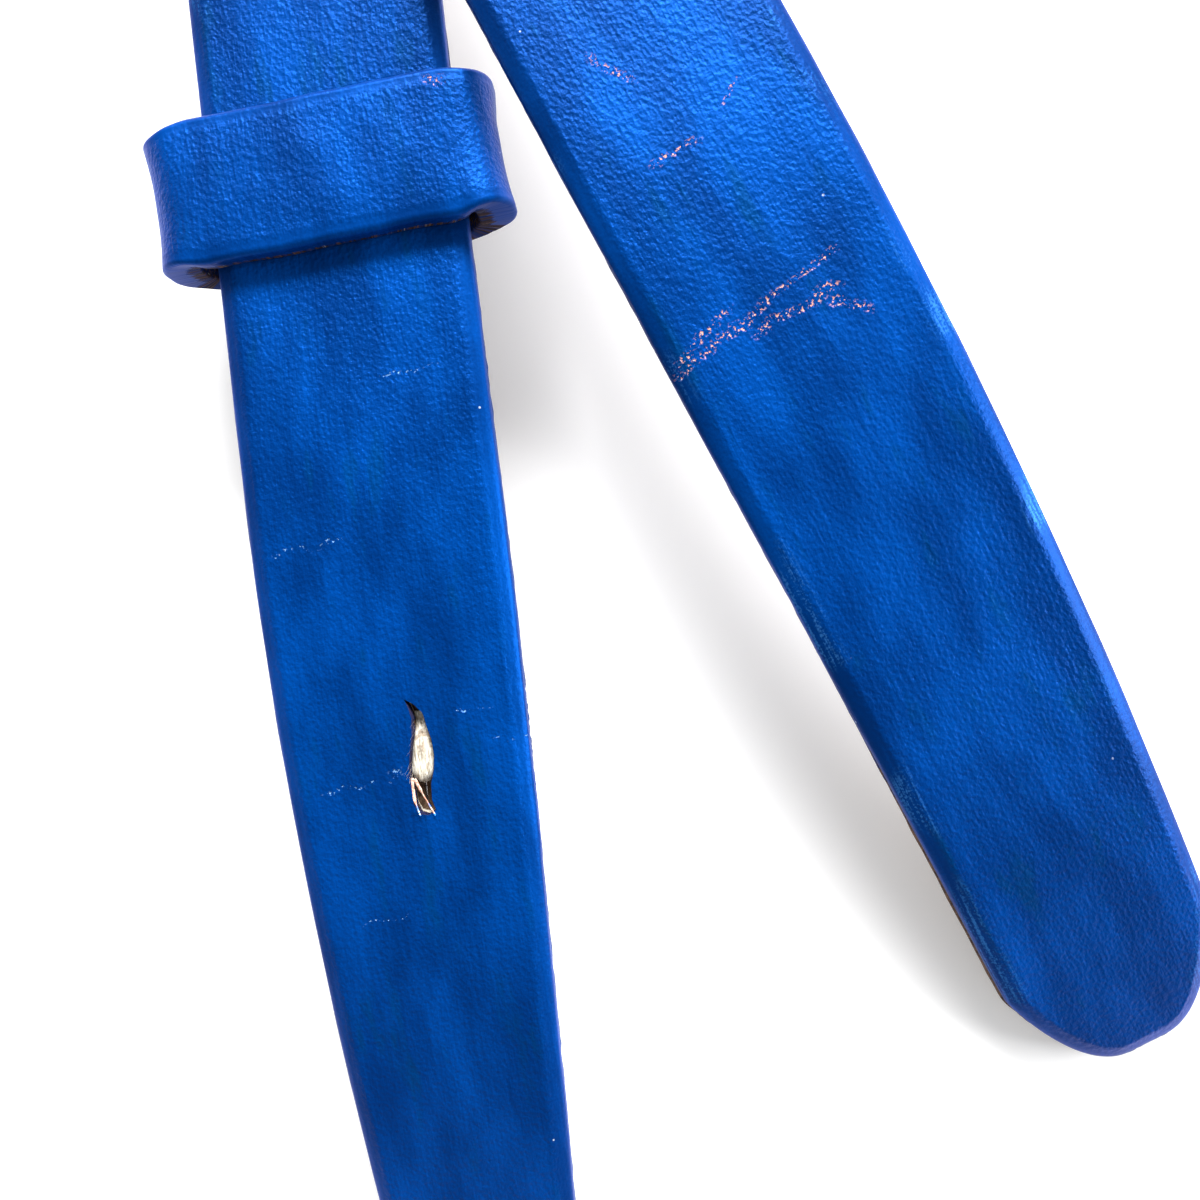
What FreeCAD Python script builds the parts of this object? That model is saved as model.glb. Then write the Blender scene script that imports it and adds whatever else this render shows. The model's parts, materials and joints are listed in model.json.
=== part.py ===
"""A man's leather waist belt strap with its keeper loop, lying on a table, without its buckle.

The strap is three layers: a painted leather cover with turned edges, a soft filler and a
leather backing.  One end carries the buckle slot and the flap that folds back around a
buckle's bar; the other is the rounded tip.  The two legs of the strap lie grain side up
and cross each other.  Beyond the crossing each leg twists a quarter turn, so that the
strap makes a narrow loop that stands on its edge.

Axes: X across the slot leg, Y along it from the flap to the loop, Z up from the table.
Origin: the middle of the footprint, on the table.  Lengths are in millimetres.
"""
import FreeCAD
import Part
import Sketcher

import math
import os

Vector = FreeCAD.Vector

# alias, value, what it is
DIMENSIONS = [
    ("strap_width", 38.0, "width of the strap, an inch and a half"),
    ("strap_thick", 4.5, "cover, filler and backing together"),
    ("backing_thick", 1.4, "leather backing"),
    ("filler_thick", 1.4, "soft filler between cover and backing"),
    ("cover_rim", 2.0, "turned edge of the cover beside the filler"),
    ("bevel_width", 2.2, "bevel along the cover's edges, across the strap"),
    ("bevel_drop", 1.35, "bevel along the cover's edges, through the strap"),
    ("crossing_angle", 20.6, "angle between the two legs, degrees"),
    ("bight_radius", 30.0, "far end of the standing loop"),
    ("twist_overrun", 25.0, "how far each twist runs on into the round end of the loop"),
    ("sag_start", 70.0, "from the crossing to where the upper leg starts to sag"),
    ("sag_overrun", 40.0, "how far the sag runs on into the round end of the loop"),
    ("slot_leg_reach", 313.0, "table distance from the flap's end to the crossing"),
    ("slot_leg_radius", 522.0, "curl of the slot leg where it comes down to the table"),
    ("slot_leg_slope", 16.0, "slope of the slot leg at its end, degrees"),
    ("tip_leg_reach", 300.0, "table distance from the tip to the crossing"),
    ("tip_leg_radius", 434.0, "curl of the tip leg where it comes down to the table"),
    ("tip_leg_slope", 21.4, "slope of the tip leg at its end, degrees"),
    ("flap_reach", 90.0, "table distance from the flap's end to the fold"),
    ("flap_taper", 0.28, "share of the width lost towards the flap's end"),
    ("flap_taper_reach", 120.0, "distance over which the flap end narrows"),
    ("flap_taper_power", 1.5, "how suddenly the flap end narrows"),
    ("tip_taper", 0.15, "share of the width lost towards the tip"),
    ("tip_taper_reach", 160.0, "distance over which the tip end narrows"),
    ("tip_taper_power", 2.0, "how suddenly the tip end narrows"),
    ("end_round", 17.0, "length over which both ends round off"),
    ("end_flat", 0.2, "share of an end's width that is cut straight"),
    ("end_fullness", 1.2, "roundness of the ends: 1 a parabola, 2 an ellipse"),
    ("slot_length", 17.5, "buckle slot along the strap"),
    ("slot_width", 4.6, "buckle slot across the strap"),
    ("slot_offset", 1.8, "buckle slot beside the middle of the strap"),
    ("bar_gap", 2.5, "fold axis below the strap, half a buckle bar"),
    ("keeper_distance", 87.0, "keeper's middle from the fold"),
    ("keeper_skew", 3.0, "keeper's turn on the strap, degrees"),
    ("keeper_offset", -1.0, "keeper's middle beside the middle of the strap"),
    ("keeper_wall", 3.3, "thickness of the keeper's leather"),
    ("keeper_side", 5.3, "keeper's sides, where the leather is folded flat"),
    ("keeper_length", 22.0, "keeper along the strap"),
    ("keeper_opening_width", 42.0, "inside of the keeper across the strap"),
    ("keeper_opening_height", 6.4, "inside of the keeper as it lies, pressed flat"),
    ("keeper_corner", 5.5, "outer corner radius of the keeper"),
    ("keeper_inner_corner", 1.5, "inner corner radius of the keeper"),
    ("keeper_soften", 1.2, "rounding along the keeper's outer rims"),
    ("keeper_seam", 0.4, "gap where the keeper's two ends meet underneath"),
    ("keeper_clear", 0.3, "gap between the keeper's top wall and the strap"),
    ("staple_wire", 0.9, "diameter of the staple wire"),
    ("staple_crown", 8.0, "staple from leg to leg"),
    ("staple_clinch", 2.4, "staple point bent over inside the keeper"),
    ("staple_spacing", 9.0, "distance between the two staples"),
    ("tuft_length", 5.6, "loose filler in the end of the slot"),
    ("shred_length", 5.5, "torn shreds of cover along the slot"),
    ("shred_thick", 0.3, "thickness of the torn shreds"),
]

STATION_STEP = 11.0      # between sections of the strap where it curls gently
TWIST_STEP = 7.0         # between sections where it twists
BIGHT_STEPS = 18         # sections round the far end of the loop
SLOPE_STEP = 0.5         # either side of a section, to read the slope of the strap
ROUND_SHARES = (0.45, 0.7)  # of an end's rounding, where it has sections of its own
NEAR = 0.01              # lengths closer than this are the same


def make_sheet(doc):
    """Spreadsheet that holds every driving dimension; returns its values by name."""
    sheet = doc.addObject("Spreadsheet::Sheet", "Dimensions")
    for row, (alias, value, note) in enumerate(DIMENSIONS, start=1):
        sheet.set(f"A{row}", alias)
        sheet.set(f"B{row}", str(value))
        sheet.set(f"C{row}", note)
        sheet.setAlias(f"B{row}", alias)
    doc.recompute()
    return {alias: float(sheet.get(alias)) for alias, _value, _note in DIMENSIONS}


def smooth_step(share):
    """Eased rise from 0 to 1 as share goes from 0 to 1."""
    share = min(max(share, 0.0), 1.0)
    return share * share * (3.0 - 2.0 * share)


class StrapPath:
    """Middle line of the strap, with the way its width and its grain side face.

    A place on it is its distance from the flap's end, measured on the table.
    """

    def __init__(self, size):
        self.size = size
        self.half_angle = math.radians(size["crossing_angle"] / 2)
        self.crossing_to_bight = size["bight_radius"] / math.tan(self.half_angle)
        self.bight = size["bight_radius"] * (math.pi + 2 * self.half_angle)
        self.bight_start = size["slot_leg_reach"] + self.crossing_to_bight
        self.bight_end = self.bight_start + self.bight
        self.length = self.bight_end + self.crossing_to_bight + size["tip_leg_reach"]
        self.fold = size["flap_reach"]
        self.twist_reach = self.crossing_to_bight + size["twist_overrun"]
        self.sag_reach = self.crossing_to_bight + size["sag_overrun"] - size["sag_start"]

    def leg_height(self, distance, slope, radius):
        """Height of a leg that rises from the table along an arc and then runs level."""
        short_of_top = max(radius * math.sin(slope) - distance, 0.0)
        arc_height = math.sqrt(radius ** 2 - short_of_top ** 2) - radius * math.cos(slope)
        return self.size["strap_thick"] / 2 * math.cos(slope) + arc_height

    def height(self, place):
        """Height of the middle line above the table."""
        size = self.size
        from_tip = self.length - place
        if place < (self.bight_start + self.bight_end) / 2:
            slope = math.radians(size["slot_leg_slope"])
            leg = self.leg_height(place, slope, size["slot_leg_radius"])
            share = smooth_step((place - size["slot_leg_reach"]) / self.crossing_to_bight)
        else:
            slope = math.radians(size["tip_leg_slope"])
            leg = self.leg_height(from_tip, slope, size["tip_leg_radius"])
            beyond = from_tip - size["tip_leg_reach"] - size["sag_start"]
            share = smooth_step(beyond / self.sag_reach)
        standing = size["strap_width"] / 2
        return leg * (1 - share) + standing * share

    def plan(self, place):
        """Point on the table under a place, and the direction of the strap there."""
        if place < self.bight_start:
            return Vector(0, place - self.size["slot_leg_reach"], 0), Vector(0, 1, 0)
        if place > self.bight_end:
            angle = 2 * self.half_angle
            direction = Vector(math.sin(angle), -math.cos(angle), 0)
            past_crossing = place - self.length + self.size["tip_leg_reach"]
            return direction * past_crossing, direction
        radius = self.size["bight_radius"]
        turn = (place - self.bight_start) / radius
        outward = Vector(math.cos(turn), math.sin(turn), 0)
        centre = Vector(-radius, self.crossing_to_bight, 0)
        return centre + outward * radius, Vector(-outward.y, outward.x, 0)

    def twist(self, place):
        """Angle from lying flat, 0, to standing on edge, a quarter turn."""
        from_tip = self.length - place
        rising = smooth_step((place - self.size["slot_leg_reach"]) / self.twist_reach)
        falling = smooth_step((from_tip - self.size["tip_leg_reach"]) / self.twist_reach)
        return math.pi / 2 * min(rising, falling)

    def frame(self, place):
        """Middle point, direction of travel, direction of the width and of the grain side."""
        point, heading = self.plan(place)
        before = max(place - SLOPE_STEP, 0.0)
        after = min(place + SLOPE_STEP, self.length)
        rise = (self.height(after) - self.height(before)) / (after - before)
        travel = Vector(heading.x, heading.y, rise).normalize()
        level = travel.cross(Vector(0, 0, 1)).normalize()
        upward = level.cross(travel)
        angle = self.twist(place)
        across = level * math.cos(angle) - upward * math.sin(angle)
        grain = upward * math.cos(angle) + level * math.sin(angle)
        return Vector(point.x, point.y, self.height(place)), travel, across, grain

    def half_width(self, place):
        """Half the strap's width: tapered towards both ends, with rounded corners."""
        size = self.size
        full = size["strap_width"] / 2
        from_tip = self.length - place
        flap_share = max(1 - place / size["flap_taper_reach"], 0.0) ** size["flap_taper_power"]
        tip_share = max(1 - from_tip / size["tip_taper_reach"], 0.0) ** size["tip_taper_power"]
        half = full * (1 - size["flap_taper"] * flap_share - size["tip_taper"] * tip_share)
        from_end = min(place, from_tip)
        if from_end >= size["end_round"]:
            return half
        short = 1 - from_end / size["end_round"]
        corner = math.sqrt(1 - short ** size["end_fullness"])
        return half * (size["end_flat"] + (1 - size["end_flat"]) * corner)

    def placement(self, place):
        """Placement with X across the strap, Y along it and Z out of the grain side."""
        point, travel, across, grain = self.frame(place)
        rotation = FreeCAD.Rotation(across, travel, grain, "ZXY")
        return FreeCAD.Placement(point, rotation)


def spread(start, end, step):
    """Evenly spaced places from start up to, but not including, end."""
    count = max(math.ceil((end - start) / step), 1)
    return [start + (end - start) * i / count for i in range(count)]


def flap_stations(path):
    """Places of the flap's sections, closer together round its end."""
    end_round = path.size["end_round"]
    rim = path.size["cover_rim"]
    near_end = [0.0, rim / 4, rim, 2 * rim] + [share * end_round for share in ROUND_SHARES]
    return near_end + spread(end_round, path.fold, STATION_STEP) + [path.fold]


def strap_stations(path):
    """Places of the strap's sections, from the fold to the tip."""
    size = path.size
    slot_top = size["slot_leg_radius"] * math.sin(math.radians(size["slot_leg_slope"]))
    tip_top = size["tip_leg_radius"] * math.sin(math.radians(size["tip_leg_slope"]))
    tip_crossing = path.length - size["tip_leg_reach"]
    places = spread(path.fold, slot_top, STATION_STEP)
    places += [slot_top]
    places += spread(size["slot_leg_reach"], path.bight_start, TWIST_STEP)
    places += spread(path.bight_start, path.bight_end, path.bight / BIGHT_STEPS)
    places += spread(path.bight_end, tip_crossing, TWIST_STEP)
    places += [tip_crossing]
    places += spread(path.length - tip_top, path.length - size["end_round"], STATION_STEP)
    end_round = size["end_round"]
    rim = size["cover_rim"]
    rounding = [share * end_round for share in reversed(ROUND_SHARES)]
    near_tip = [end_round] + rounding + [2 * rim, rim, rim / 4, 0.0]
    return places + [path.length - distance for distance in near_tip]


def levels(size):
    """Heights of the layers' faces through the strap, from the middle of its thickness."""
    bottom = -size["strap_thick"] / 2
    backing_top = bottom + size["backing_thick"]
    filler_top = backing_top + size["filler_thick"]
    return bottom, backing_top, filler_top, -bottom


def closed_cover(size, half):
    """Section of the cover where it closes over the end of the filler."""
    _bottom, backing_top, _filler_top, top = levels(size)
    shoulder = top - size["bevel_drop"]
    crown = half - size["bevel_width"]
    return [(-half, backing_top), (-half, shoulder), (-crown, top),
            (crown, top), (half, shoulder), (half, backing_top)]


def open_cover(size, half):
    """Section of the cover with the channel that holds the filler."""
    _bottom, backing_top, filler_top, _top = levels(size)
    inner = half - size["cover_rim"]
    channel = [(inner, backing_top), (inner, filler_top),
               (-inner, filler_top), (-inner, backing_top)]
    return closed_cover(size, half) + channel


def filler_section(size, half):
    """Section of the filler, inside the cover's channel."""
    _bottom, backing_top, filler_top, _top = levels(size)
    inner = half - size["cover_rim"]
    return [(-inner, backing_top), (-inner, filler_top), (inner, filler_top), (inner, backing_top)]


def backing_section(size, half):
    """Section of the backing, the full width of the strap."""
    bottom, backing_top, _filler_top, _top = levels(size)
    return [(-half, bottom), (-half, backing_top), (half, backing_top), (half, bottom)]


def loft_layer(path, stations, section):
    """Solid of one layer, made of its sections at the stations."""
    wires = []
    for place in stations:
        point, _travel, across, grain = path.frame(place)
        outline = section(path.size, path.half_width(place))
        corners = [point + across * x + grain * z for x, z in outline]
        wires.append(Part.makePolygon(corners + corners[:1]))
    return Part.makeLoft(wires, True, True)


def loft_cover(path, stations, cap_at_start):
    """Cover with an open channel, closed over the last rim's width at its free end."""
    rim = path.size["cover_rim"]
    if cap_at_start:
        edge = stations[0] + rim
        cap = [place for place in stations if place <= edge]
        run = [place for place in stations if place >= edge]
    else:
        edge = stations[-1] - rim
        cap = [place for place in stations if place >= edge]
        run = [place for place in stations if place <= edge]
    channel_part = loft_layer(path, run, open_cover)
    return channel_part.fuse(loft_layer(path, cap, closed_cover))


def filler_stations(path, stations):
    """The stations that lie inside the cover's closed ends."""
    rim = path.size["cover_rim"]
    return [place for place in stations if rim <= place <= path.length - rim]


def add_shape(doc, name, shape):
    """Document object that holds a ready shape."""
    feature = doc.addObject("Part::Feature", name)
    feature.Shape = shape
    return feature


def bind(feature, **expressions):
    """Tie properties of an object to the sheet."""
    for name, expression in expressions.items():
        feature.setExpression(name, expression)


def make_slot_tool(doc, name, start, end):
    """Straight slot with round ends, from start to end along the strap, through every layer.

    start and end are expressions for the distances from the fold to the slot's ends.
    """
    radius = "Dimensions.slot_width / 2"
    base = "-Dimensions.strap_thick * 1.5"
    block = doc.addObject("Part::Box", f"{name}_middle")
    bind(block, Length="Dimensions.slot_width", Height="Dimensions.strap_thick * 3",
         Width=f"({end}) - ({start}) - Dimensions.slot_width")
    block.setExpression("Placement.Base.x", f"Dimensions.slot_offset - {radius}")
    block.setExpression("Placement.Base.y", f"({start}) + {radius}")
    block.setExpression("Placement.Base.z", base)
    rounds = []
    for place, distance in (("near", f"({start}) + {radius}"), ("far", f"({end}) - {radius}")):
        cylinder = doc.addObject("Part::Cylinder", f"{name}_{place}_end")
        bind(cylinder, Radius=radius, Height="Dimensions.strap_thick * 3")
        cylinder.setExpression("Placement.Base.x", "Dimensions.slot_offset")
        cylinder.setExpression("Placement.Base.y", distance)
        cylinder.setExpression("Placement.Base.z", base)
        rounds.append(cylinder)
    tool = doc.addObject("Part::MultiFuse", name)
    tool.Shapes = [block] + rounds
    return tool


def make_layers(doc, path, shift):
    """Cover, filler and backing of the flap and of the strap, each with its half of the slot."""
    half_slot = "Dimensions.slot_length / 2"
    cutter = make_slot_tool(doc, "buckle_slot", f"-{half_slot}", half_slot)
    cutter.Placement = shift.multiply(path.placement(path.fold))
    doc.recompute()
    pieces = []
    for part, stations in (("flap", flap_stations(path)), ("strap", strap_stations(path))):
        inner = filler_stations(path, stations)
        blanks = {
            "cover": loft_cover(path, stations, cap_at_start=(part == "flap")),
            "filler": loft_layer(path, inner, filler_section),
            "backing": loft_layer(path, stations, backing_section),
        }
        for layer, shape in blanks.items():
            blank = add_shape(doc, f"{part}_{layer}_blank", shape)
            blank.Placement = shift
            cut = doc.addObject("Part::Cut", f"{part}_{layer}")
            cut.Base = blank
            cut.Tool = cutter
            doc.recompute()
            removed = blank.Shape.Volume - cut.Shape.Volume
            assert removed > 0, f"the slot missed {cut.Label}"
            pieces.append(cut)
    return pieces


def make_tuft(doc, placement):
    """Filler fibres that have worked out into the far end of the slot."""
    half_slot = "Dimensions.slot_length / 2"
    column = make_slot_tool(doc, "tuft_column", f"{half_slot} - Dimensions.tuft_length", half_slot)
    slab = doc.addObject("Part::Box", "tuft_slab")
    bind(slab, Length="Dimensions.slot_width", Width="Dimensions.slot_length",
         Height="Dimensions.filler_thick * 2")
    slab.setExpression("Placement.Base.x", "Dimensions.slot_offset - Dimensions.slot_width / 2")
    slab.setExpression("Placement.Base.z", "Dimensions.backing_thick - Dimensions.strap_thick / 2")
    tuft = doc.addObject("Part::MultiCommon", "fibre_tuft")
    tuft.Shapes = [column, slab]
    tuft.Placement = placement
    return tuft


def make_shreds(doc, placement):
    """Two shreds torn from the cover, standing along one lip of the slot."""
    strips = []
    for name, level in (("lower", "Dimensions.filler_thick / 2"), ("upper", "Dimensions.filler_thick")):
        strip = doc.addObject("Part::Box", f"{name}_shred")
        bind(strip, Length="Dimensions.shred_thick", Width="Dimensions.shred_length",
             Height="Dimensions.shred_thick * 2")
        strip.setExpression("Placement.Base.x", "Dimensions.slot_offset - Dimensions.slot_width / 2")
        strip.setExpression("Placement.Base.y",
                            "(Dimensions.slot_width - Dimensions.slot_length) / 2")
        strip.setExpression("Placement.Base.z", level)
        strips.append(strip)
    shreds = doc.addObject("Part::Compound", "torn_shreds")
    shreds.Links = strips
    shreds.Placement = placement
    return shreds


def rectangle_sketch(body, name, role, width, height):
    """Sketch of a rectangle centred on the body's origin, its sides tied to the sheet."""
    sketch = body.newObject("Sketcher::SketchObject", name)
    plane = next(item for item in body.Origin.OriginFeatures if item.Role == role)
    sketch.AttachmentSupport = [(plane, "")]
    sketch.MapMode = "FlatFace"
    corners = [Vector(-1, -1, 0), Vector(1, -1, 0), Vector(1, 1, 0), Vector(-1, 1, 0)]
    for start, end in zip(corners, corners[1:] + corners[:1]):
        sketch.addGeometry(Part.LineSegment(start, end))
    for line in range(4):
        sketch.addConstraint(Sketcher.Constraint("Coincident", line, 2, (line + 1) % 4, 1))
    for line in (0, 2):
        sketch.addConstraint(Sketcher.Constraint("Horizontal", line))
    for line in (1, 3):
        sketch.addConstraint(Sketcher.Constraint("Vertical", line))
    sketch.addConstraint(Sketcher.Constraint("Symmetric", 0, 1, 1, 2, -1, 1))
    for kind, line, label, expression in (("DistanceX", 0, "across", width),
                                          ("DistanceY", 1, "upright", height)):
        index = sketch.addConstraint(Sketcher.Constraint(kind, line, 1, line, 2, 2.0))
        sketch.renameConstraint(index, label)
        sketch.setExpression(f"Constraints.{label}", expression)
    return sketch


def edges_where(shape, test):
    """Names of the edges of a shape that pass a test."""
    return [f"Edge{index}" for index, edge in enumerate(shape.Edges, start=1) if test(edge)]


def add_pocket(body, name, sketch):
    """Pocket through the whole body, both ways from the sketch plane."""
    pocket = body.newObject("PartDesign::Pocket", name)
    pocket.Profile = sketch
    pocket.Type = "ThroughAll"
    pocket.Midplane = True
    return pocket


def add_fillet(body, name, base, edges, radius):
    """Fillet on named edges of the feature before it."""
    fillet = body.newObject("PartDesign::Fillet", name)
    fillet.Base = (base, edges)
    fillet.setExpression("Radius", radius)
    body.Document.recompute()
    return fillet


def make_keeper(doc, size):
    """Keeper band: a leather loop with rounded corners whose ends meet underneath."""
    body = doc.addObject("PartDesign::Body", "keeper_band")
    outer = rectangle_sketch(
        body, "keeper_outside", "XZ_Plane",
        "Dimensions.keeper_opening_width + 2 * Dimensions.keeper_side",
        "Dimensions.keeper_opening_height + 2 * Dimensions.keeper_wall")
    pad = body.newObject("PartDesign::Pad", "keeper_block")
    pad.Profile = outer
    pad.Midplane = True
    pad.setExpression("Length", "Dimensions.keeper_length")
    inner = rectangle_sketch(body, "keeper_inside", "XZ_Plane",
                             "Dimensions.keeper_opening_width", "Dimensions.keeper_opening_height")
    opening = add_pocket(body, "keeper_opening", inner)
    doc.recompute()

    half_width = size["keeper_opening_width"] / 2

    def runs_through(edge):
        ends = edge.Vertexes
        return len(ends) == 2 and abs(abs(ends[0].Y - ends[1].Y) - size["keeper_length"]) < NEAR

    outside = edges_where(opening.Shape, lambda edge: runs_through(edge)
                          and abs(edge.Vertexes[0].X) > half_width + NEAR)
    rounded = add_fillet(body, "keeper_outer_corners", opening, outside, "Dimensions.keeper_corner")
    inside = edges_where(rounded.Shape, lambda edge: runs_through(edge)
                         and abs(abs(edge.Vertexes[0].X) - half_width) < NEAR
                         and abs(edge.Vertexes[0].Z) < size["keeper_opening_height"] / 2 + NEAR)
    hollowed = add_fillet(body, "keeper_inner_corners", rounded, inside,
                          "Dimensions.keeper_inner_corner")

    reach = half_width + size["keeper_side"] - NEAR
    top = size["keeper_opening_height"] / 2 + size["keeper_wall"] - NEAR

    def on_outer_rim(edge):
        box = edge.BoundBox
        flat = box.YLength < NEAR and abs(abs(box.YMin) - size["keeper_length"] / 2) < NEAR
        return flat and (max(abs(box.XMin), abs(box.XMax)) > reach
                         or max(abs(box.ZMin), abs(box.ZMax)) > top)

    softened = add_fillet(body, "keeper_soft_rims", hollowed,
                          edges_where(hollowed.Shape, on_outer_rim), "Dimensions.keeper_soften")

    # The seam and the staples' leg holes go down from the middle of the opening.
    seam = rectangle_sketch(body, "keeper_seam_line", "XY_Plane",
                            "Dimensions.keeper_seam", "Dimensions.keeper_length * 2")
    seamed = cut_downwards(body, "keeper_seam_cut", seam, softened)
    holes = hole_sketch(body, "staple_holes")
    cut_downwards(body, "staple_hole_cut", holes, seamed)
    return body


def cut_downwards(body, name, sketch, base):
    """Pocket from the middle of the keeper's opening down through its bottom wall."""
    pocket = body.newObject("PartDesign::Pocket", name)
    pocket.Profile = sketch
    pocket.Type = "ThroughAll"
    body.Document.recompute()
    if pocket.Shape.BoundBox.ZMax < base.Shape.BoundBox.ZMax or not leaves_top_whole(pocket, base):
        pocket.Reversed = True
        body.Document.recompute()
    assert pocket.Shape.Volume < base.Shape.Volume, f"{name} removed nothing"
    return pocket


def leaves_top_whole(pocket, base):
    """Whether the upper half of the keeper has kept its volume."""
    box = base.Shape.BoundBox
    corner = Vector(box.XMin - 1, box.YMin - 1, 0)
    upper = Part.makeBox(box.XLength + 2, box.YLength + 2, box.ZMax + 1, corner)
    lost = base.Shape.common(upper).Volume - pocket.Shape.common(upper).Volume
    return abs(lost) < NEAR


def hole_sketch(body, name):
    """Sketch of the four holes for the legs of the two staples."""
    sketch = body.newObject("Sketcher::SketchObject", name)
    plane = next(item for item in body.Origin.OriginFeatures if item.Role == "XY_Plane")
    sketch.AttachmentSupport = [(plane, "")]
    sketch.MapMode = "FlatFace"
    for across, along in ((-1, -1), (1, -1), (1, 1), (-1, 1)):
        circle = Part.Circle(Vector(across, along, 0), Vector(0, 0, 1), 0.5)
        index = sketch.addGeometry(circle)
        label = f"hole_{index}"
        for kind, side, dimension in (("DistanceX", across, "staple_crown"),
                                      ("DistanceY", along, "staple_spacing")):
            ends = (-1, 1, index, 3) if side > 0 else (index, 3, -1, 1)
            number = sketch.addConstraint(Sketcher.Constraint(kind, *ends, 1.0))
            sketch.renameConstraint(number, f"{label}_{kind}")
            sketch.setExpression(f"Constraints.{label}_{kind}", f"Dimensions.{dimension} / 2")
        number = sketch.addConstraint(Sketcher.Constraint("Radius", index, 0.5))
        sketch.renameConstraint(number, f"{label}_radius")
        sketch.setExpression(f"Constraints.{label}_radius", "Dimensions.staple_wire / 2")
    return sketch


def make_staples(doc, placement):
    """Two wire staples that hold the keeper's ends together: crown below, points clinched above."""
    wire = "Dimensions.staple_wire / 2"
    crown_level = f"-(Dimensions.keeper_opening_height / 2 + Dimensions.keeper_wall) - {wire}"
    point_level = f"-Dimensions.keeper_opening_height / 2 + {wire}"
    staples = []
    for number, side in ((1, "-"), (2, "")):
        along = f"{side}Dimensions.staple_spacing / 2"
        pieces = []

        def add(kind, name, across, level, length=None, lying=0):
            piece = doc.addObject(kind, f"staple_{number}_{name}")
            bind(piece, Radius=wire)
            if length:
                bind(piece, Height=length)
            piece.Placement.Rotation = FreeCAD.Rotation(Vector(0, 1, 0), lying)
            piece.setExpression("Placement.Base.x", across)
            piece.setExpression("Placement.Base.y", along)
            piece.setExpression("Placement.Base.z", level)
            pieces.append(piece)

        left = "-Dimensions.staple_crown / 2"
        right = "Dimensions.staple_crown / 2"
        add("Part::Cylinder", "crown", left, crown_level, "Dimensions.staple_crown", 90)
        for name, across, inward in (("left", left, 90), ("right", right, -90)):
            add("Part::Cylinder", f"{name}_leg", across, crown_level,
                f"({point_level}) - ({crown_level})")
            add("Part::Cylinder", f"{name}_point", across, point_level,
                "Dimensions.staple_clinch", inward)
            add("Part::Sphere", f"{name}_lower_bend", across, crown_level)
            add("Part::Sphere", f"{name}_upper_bend", across, point_level)
        staple = doc.addObject("Part::MultiFuse", f"staple_{number}")
        staple.Shapes = pieces
        staples.append(staple)
    pair = doc.addObject("Part::Compound", "keeper_staples")
    pair.Links = staples
    pair.Placement = placement
    return pair


def footprint_shift(path):
    """Move from the path's own frame to one whose origin is the middle of the footprint."""
    layers = [loft_layer(path, stations, backing_section)
              for stations in (flap_stations(path), strap_stations(path))]
    box = layers[0].optimalBoundingBox()
    box.add(layers[1].optimalBoundingBox())
    return FreeCAD.Placement(Vector(-box.Center.x, -box.Center.y, 0), FreeCAD.Rotation())


def keeper_placement(path):
    """The keeper hangs on the strap by its top wall, a little skewed."""
    size = path.size
    on_strap = path.placement(path.fold + size["keeper_distance"])
    top_wall = size["strap_thick"] / 2 + size["keeper_clear"]
    middle = Vector(size["keeper_offset"], 0, top_wall - size["keeper_opening_height"] / 2)
    skew = FreeCAD.Rotation(Vector(0, 0, 1), size["keeper_skew"])
    return on_strap.multiply(FreeCAD.Placement(middle, skew))


def report_places(path, shift, keeper_at):
    """Print the places that the belt's record states: slot, fold axis and keeper."""
    size = path.size
    point, travel, across, grain = path.frame(path.fold)
    slot = shift.multVec(point + across * size["slot_offset"])
    fold = shift.multVec(point - grain * (size["strap_thick"] / 2 + size["bar_gap"]))
    print("slot middle", slot, "out of the grain side", grain)
    print("fold axis through", fold, "along", across)
    print("keeper middle", shift.multVec(keeper_at.Base), "slides along",
          path.frame(path.fold + size["keeper_distance"])[1])
    print("strap length from end to end, on the table", path.length)


def check(doc):
    """Stop if any object of the document has failed."""
    doc.recompute()
    for item in doc.Objects:
        assert not {"Invalid", "Error"} & set(item.State), f"{item.Label}: {item.State}"


def main():
    doc = FreeCAD.newDocument("leather_belt")
    size = make_sheet(doc)
    path = StrapPath(size)
    shift = footprint_shift(path)
    at_fold = shift.multiply(path.placement(path.fold))
    keeper_at = keeper_placement(path)

    pieces = make_layers(doc, path, shift)
    pieces.append(make_tuft(doc, at_fold))
    pieces.append(make_shreds(doc, at_fold))
    keeper = make_keeper(doc, size)
    keeper.Placement = shift.multiply(keeper_at)
    pieces.append(keeper)
    pieces.append(make_staples(doc, shift.multiply(keeper_at)))
    check(doc)

    os.makedirs("parts", exist_ok=True)
    for piece in pieces:
        shape = piece.Shape
        assert not shape.isNull() and shape.isValid(), f"{piece.Label} has no valid shape"
        shape.exportStep(f"parts/{piece.Label}.step")
        print(f"{piece.Label}: {len(shape.Solids)} solids, {shape.Volume:.1f} mm3")
    report_places(path, shift, keeper_at)


main()
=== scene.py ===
"""Looks of a worn leather belt strap: blue painted cover, raw edges, keeper loop, torn buckle slot.

The strap follows one line, StrapLine, from the flap's end to the tip.  Every piece on it is
built in strap coordinates (across, along, out of the grain side) and then laid on that line.
Lengths are in metres; the finishes work in millimetres, because leather grain is that fine.
"""

import json
import math

import bmesh
import bpy
import numpy as np
from mathutils import Euler, Matrix, Vector, noise


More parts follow.
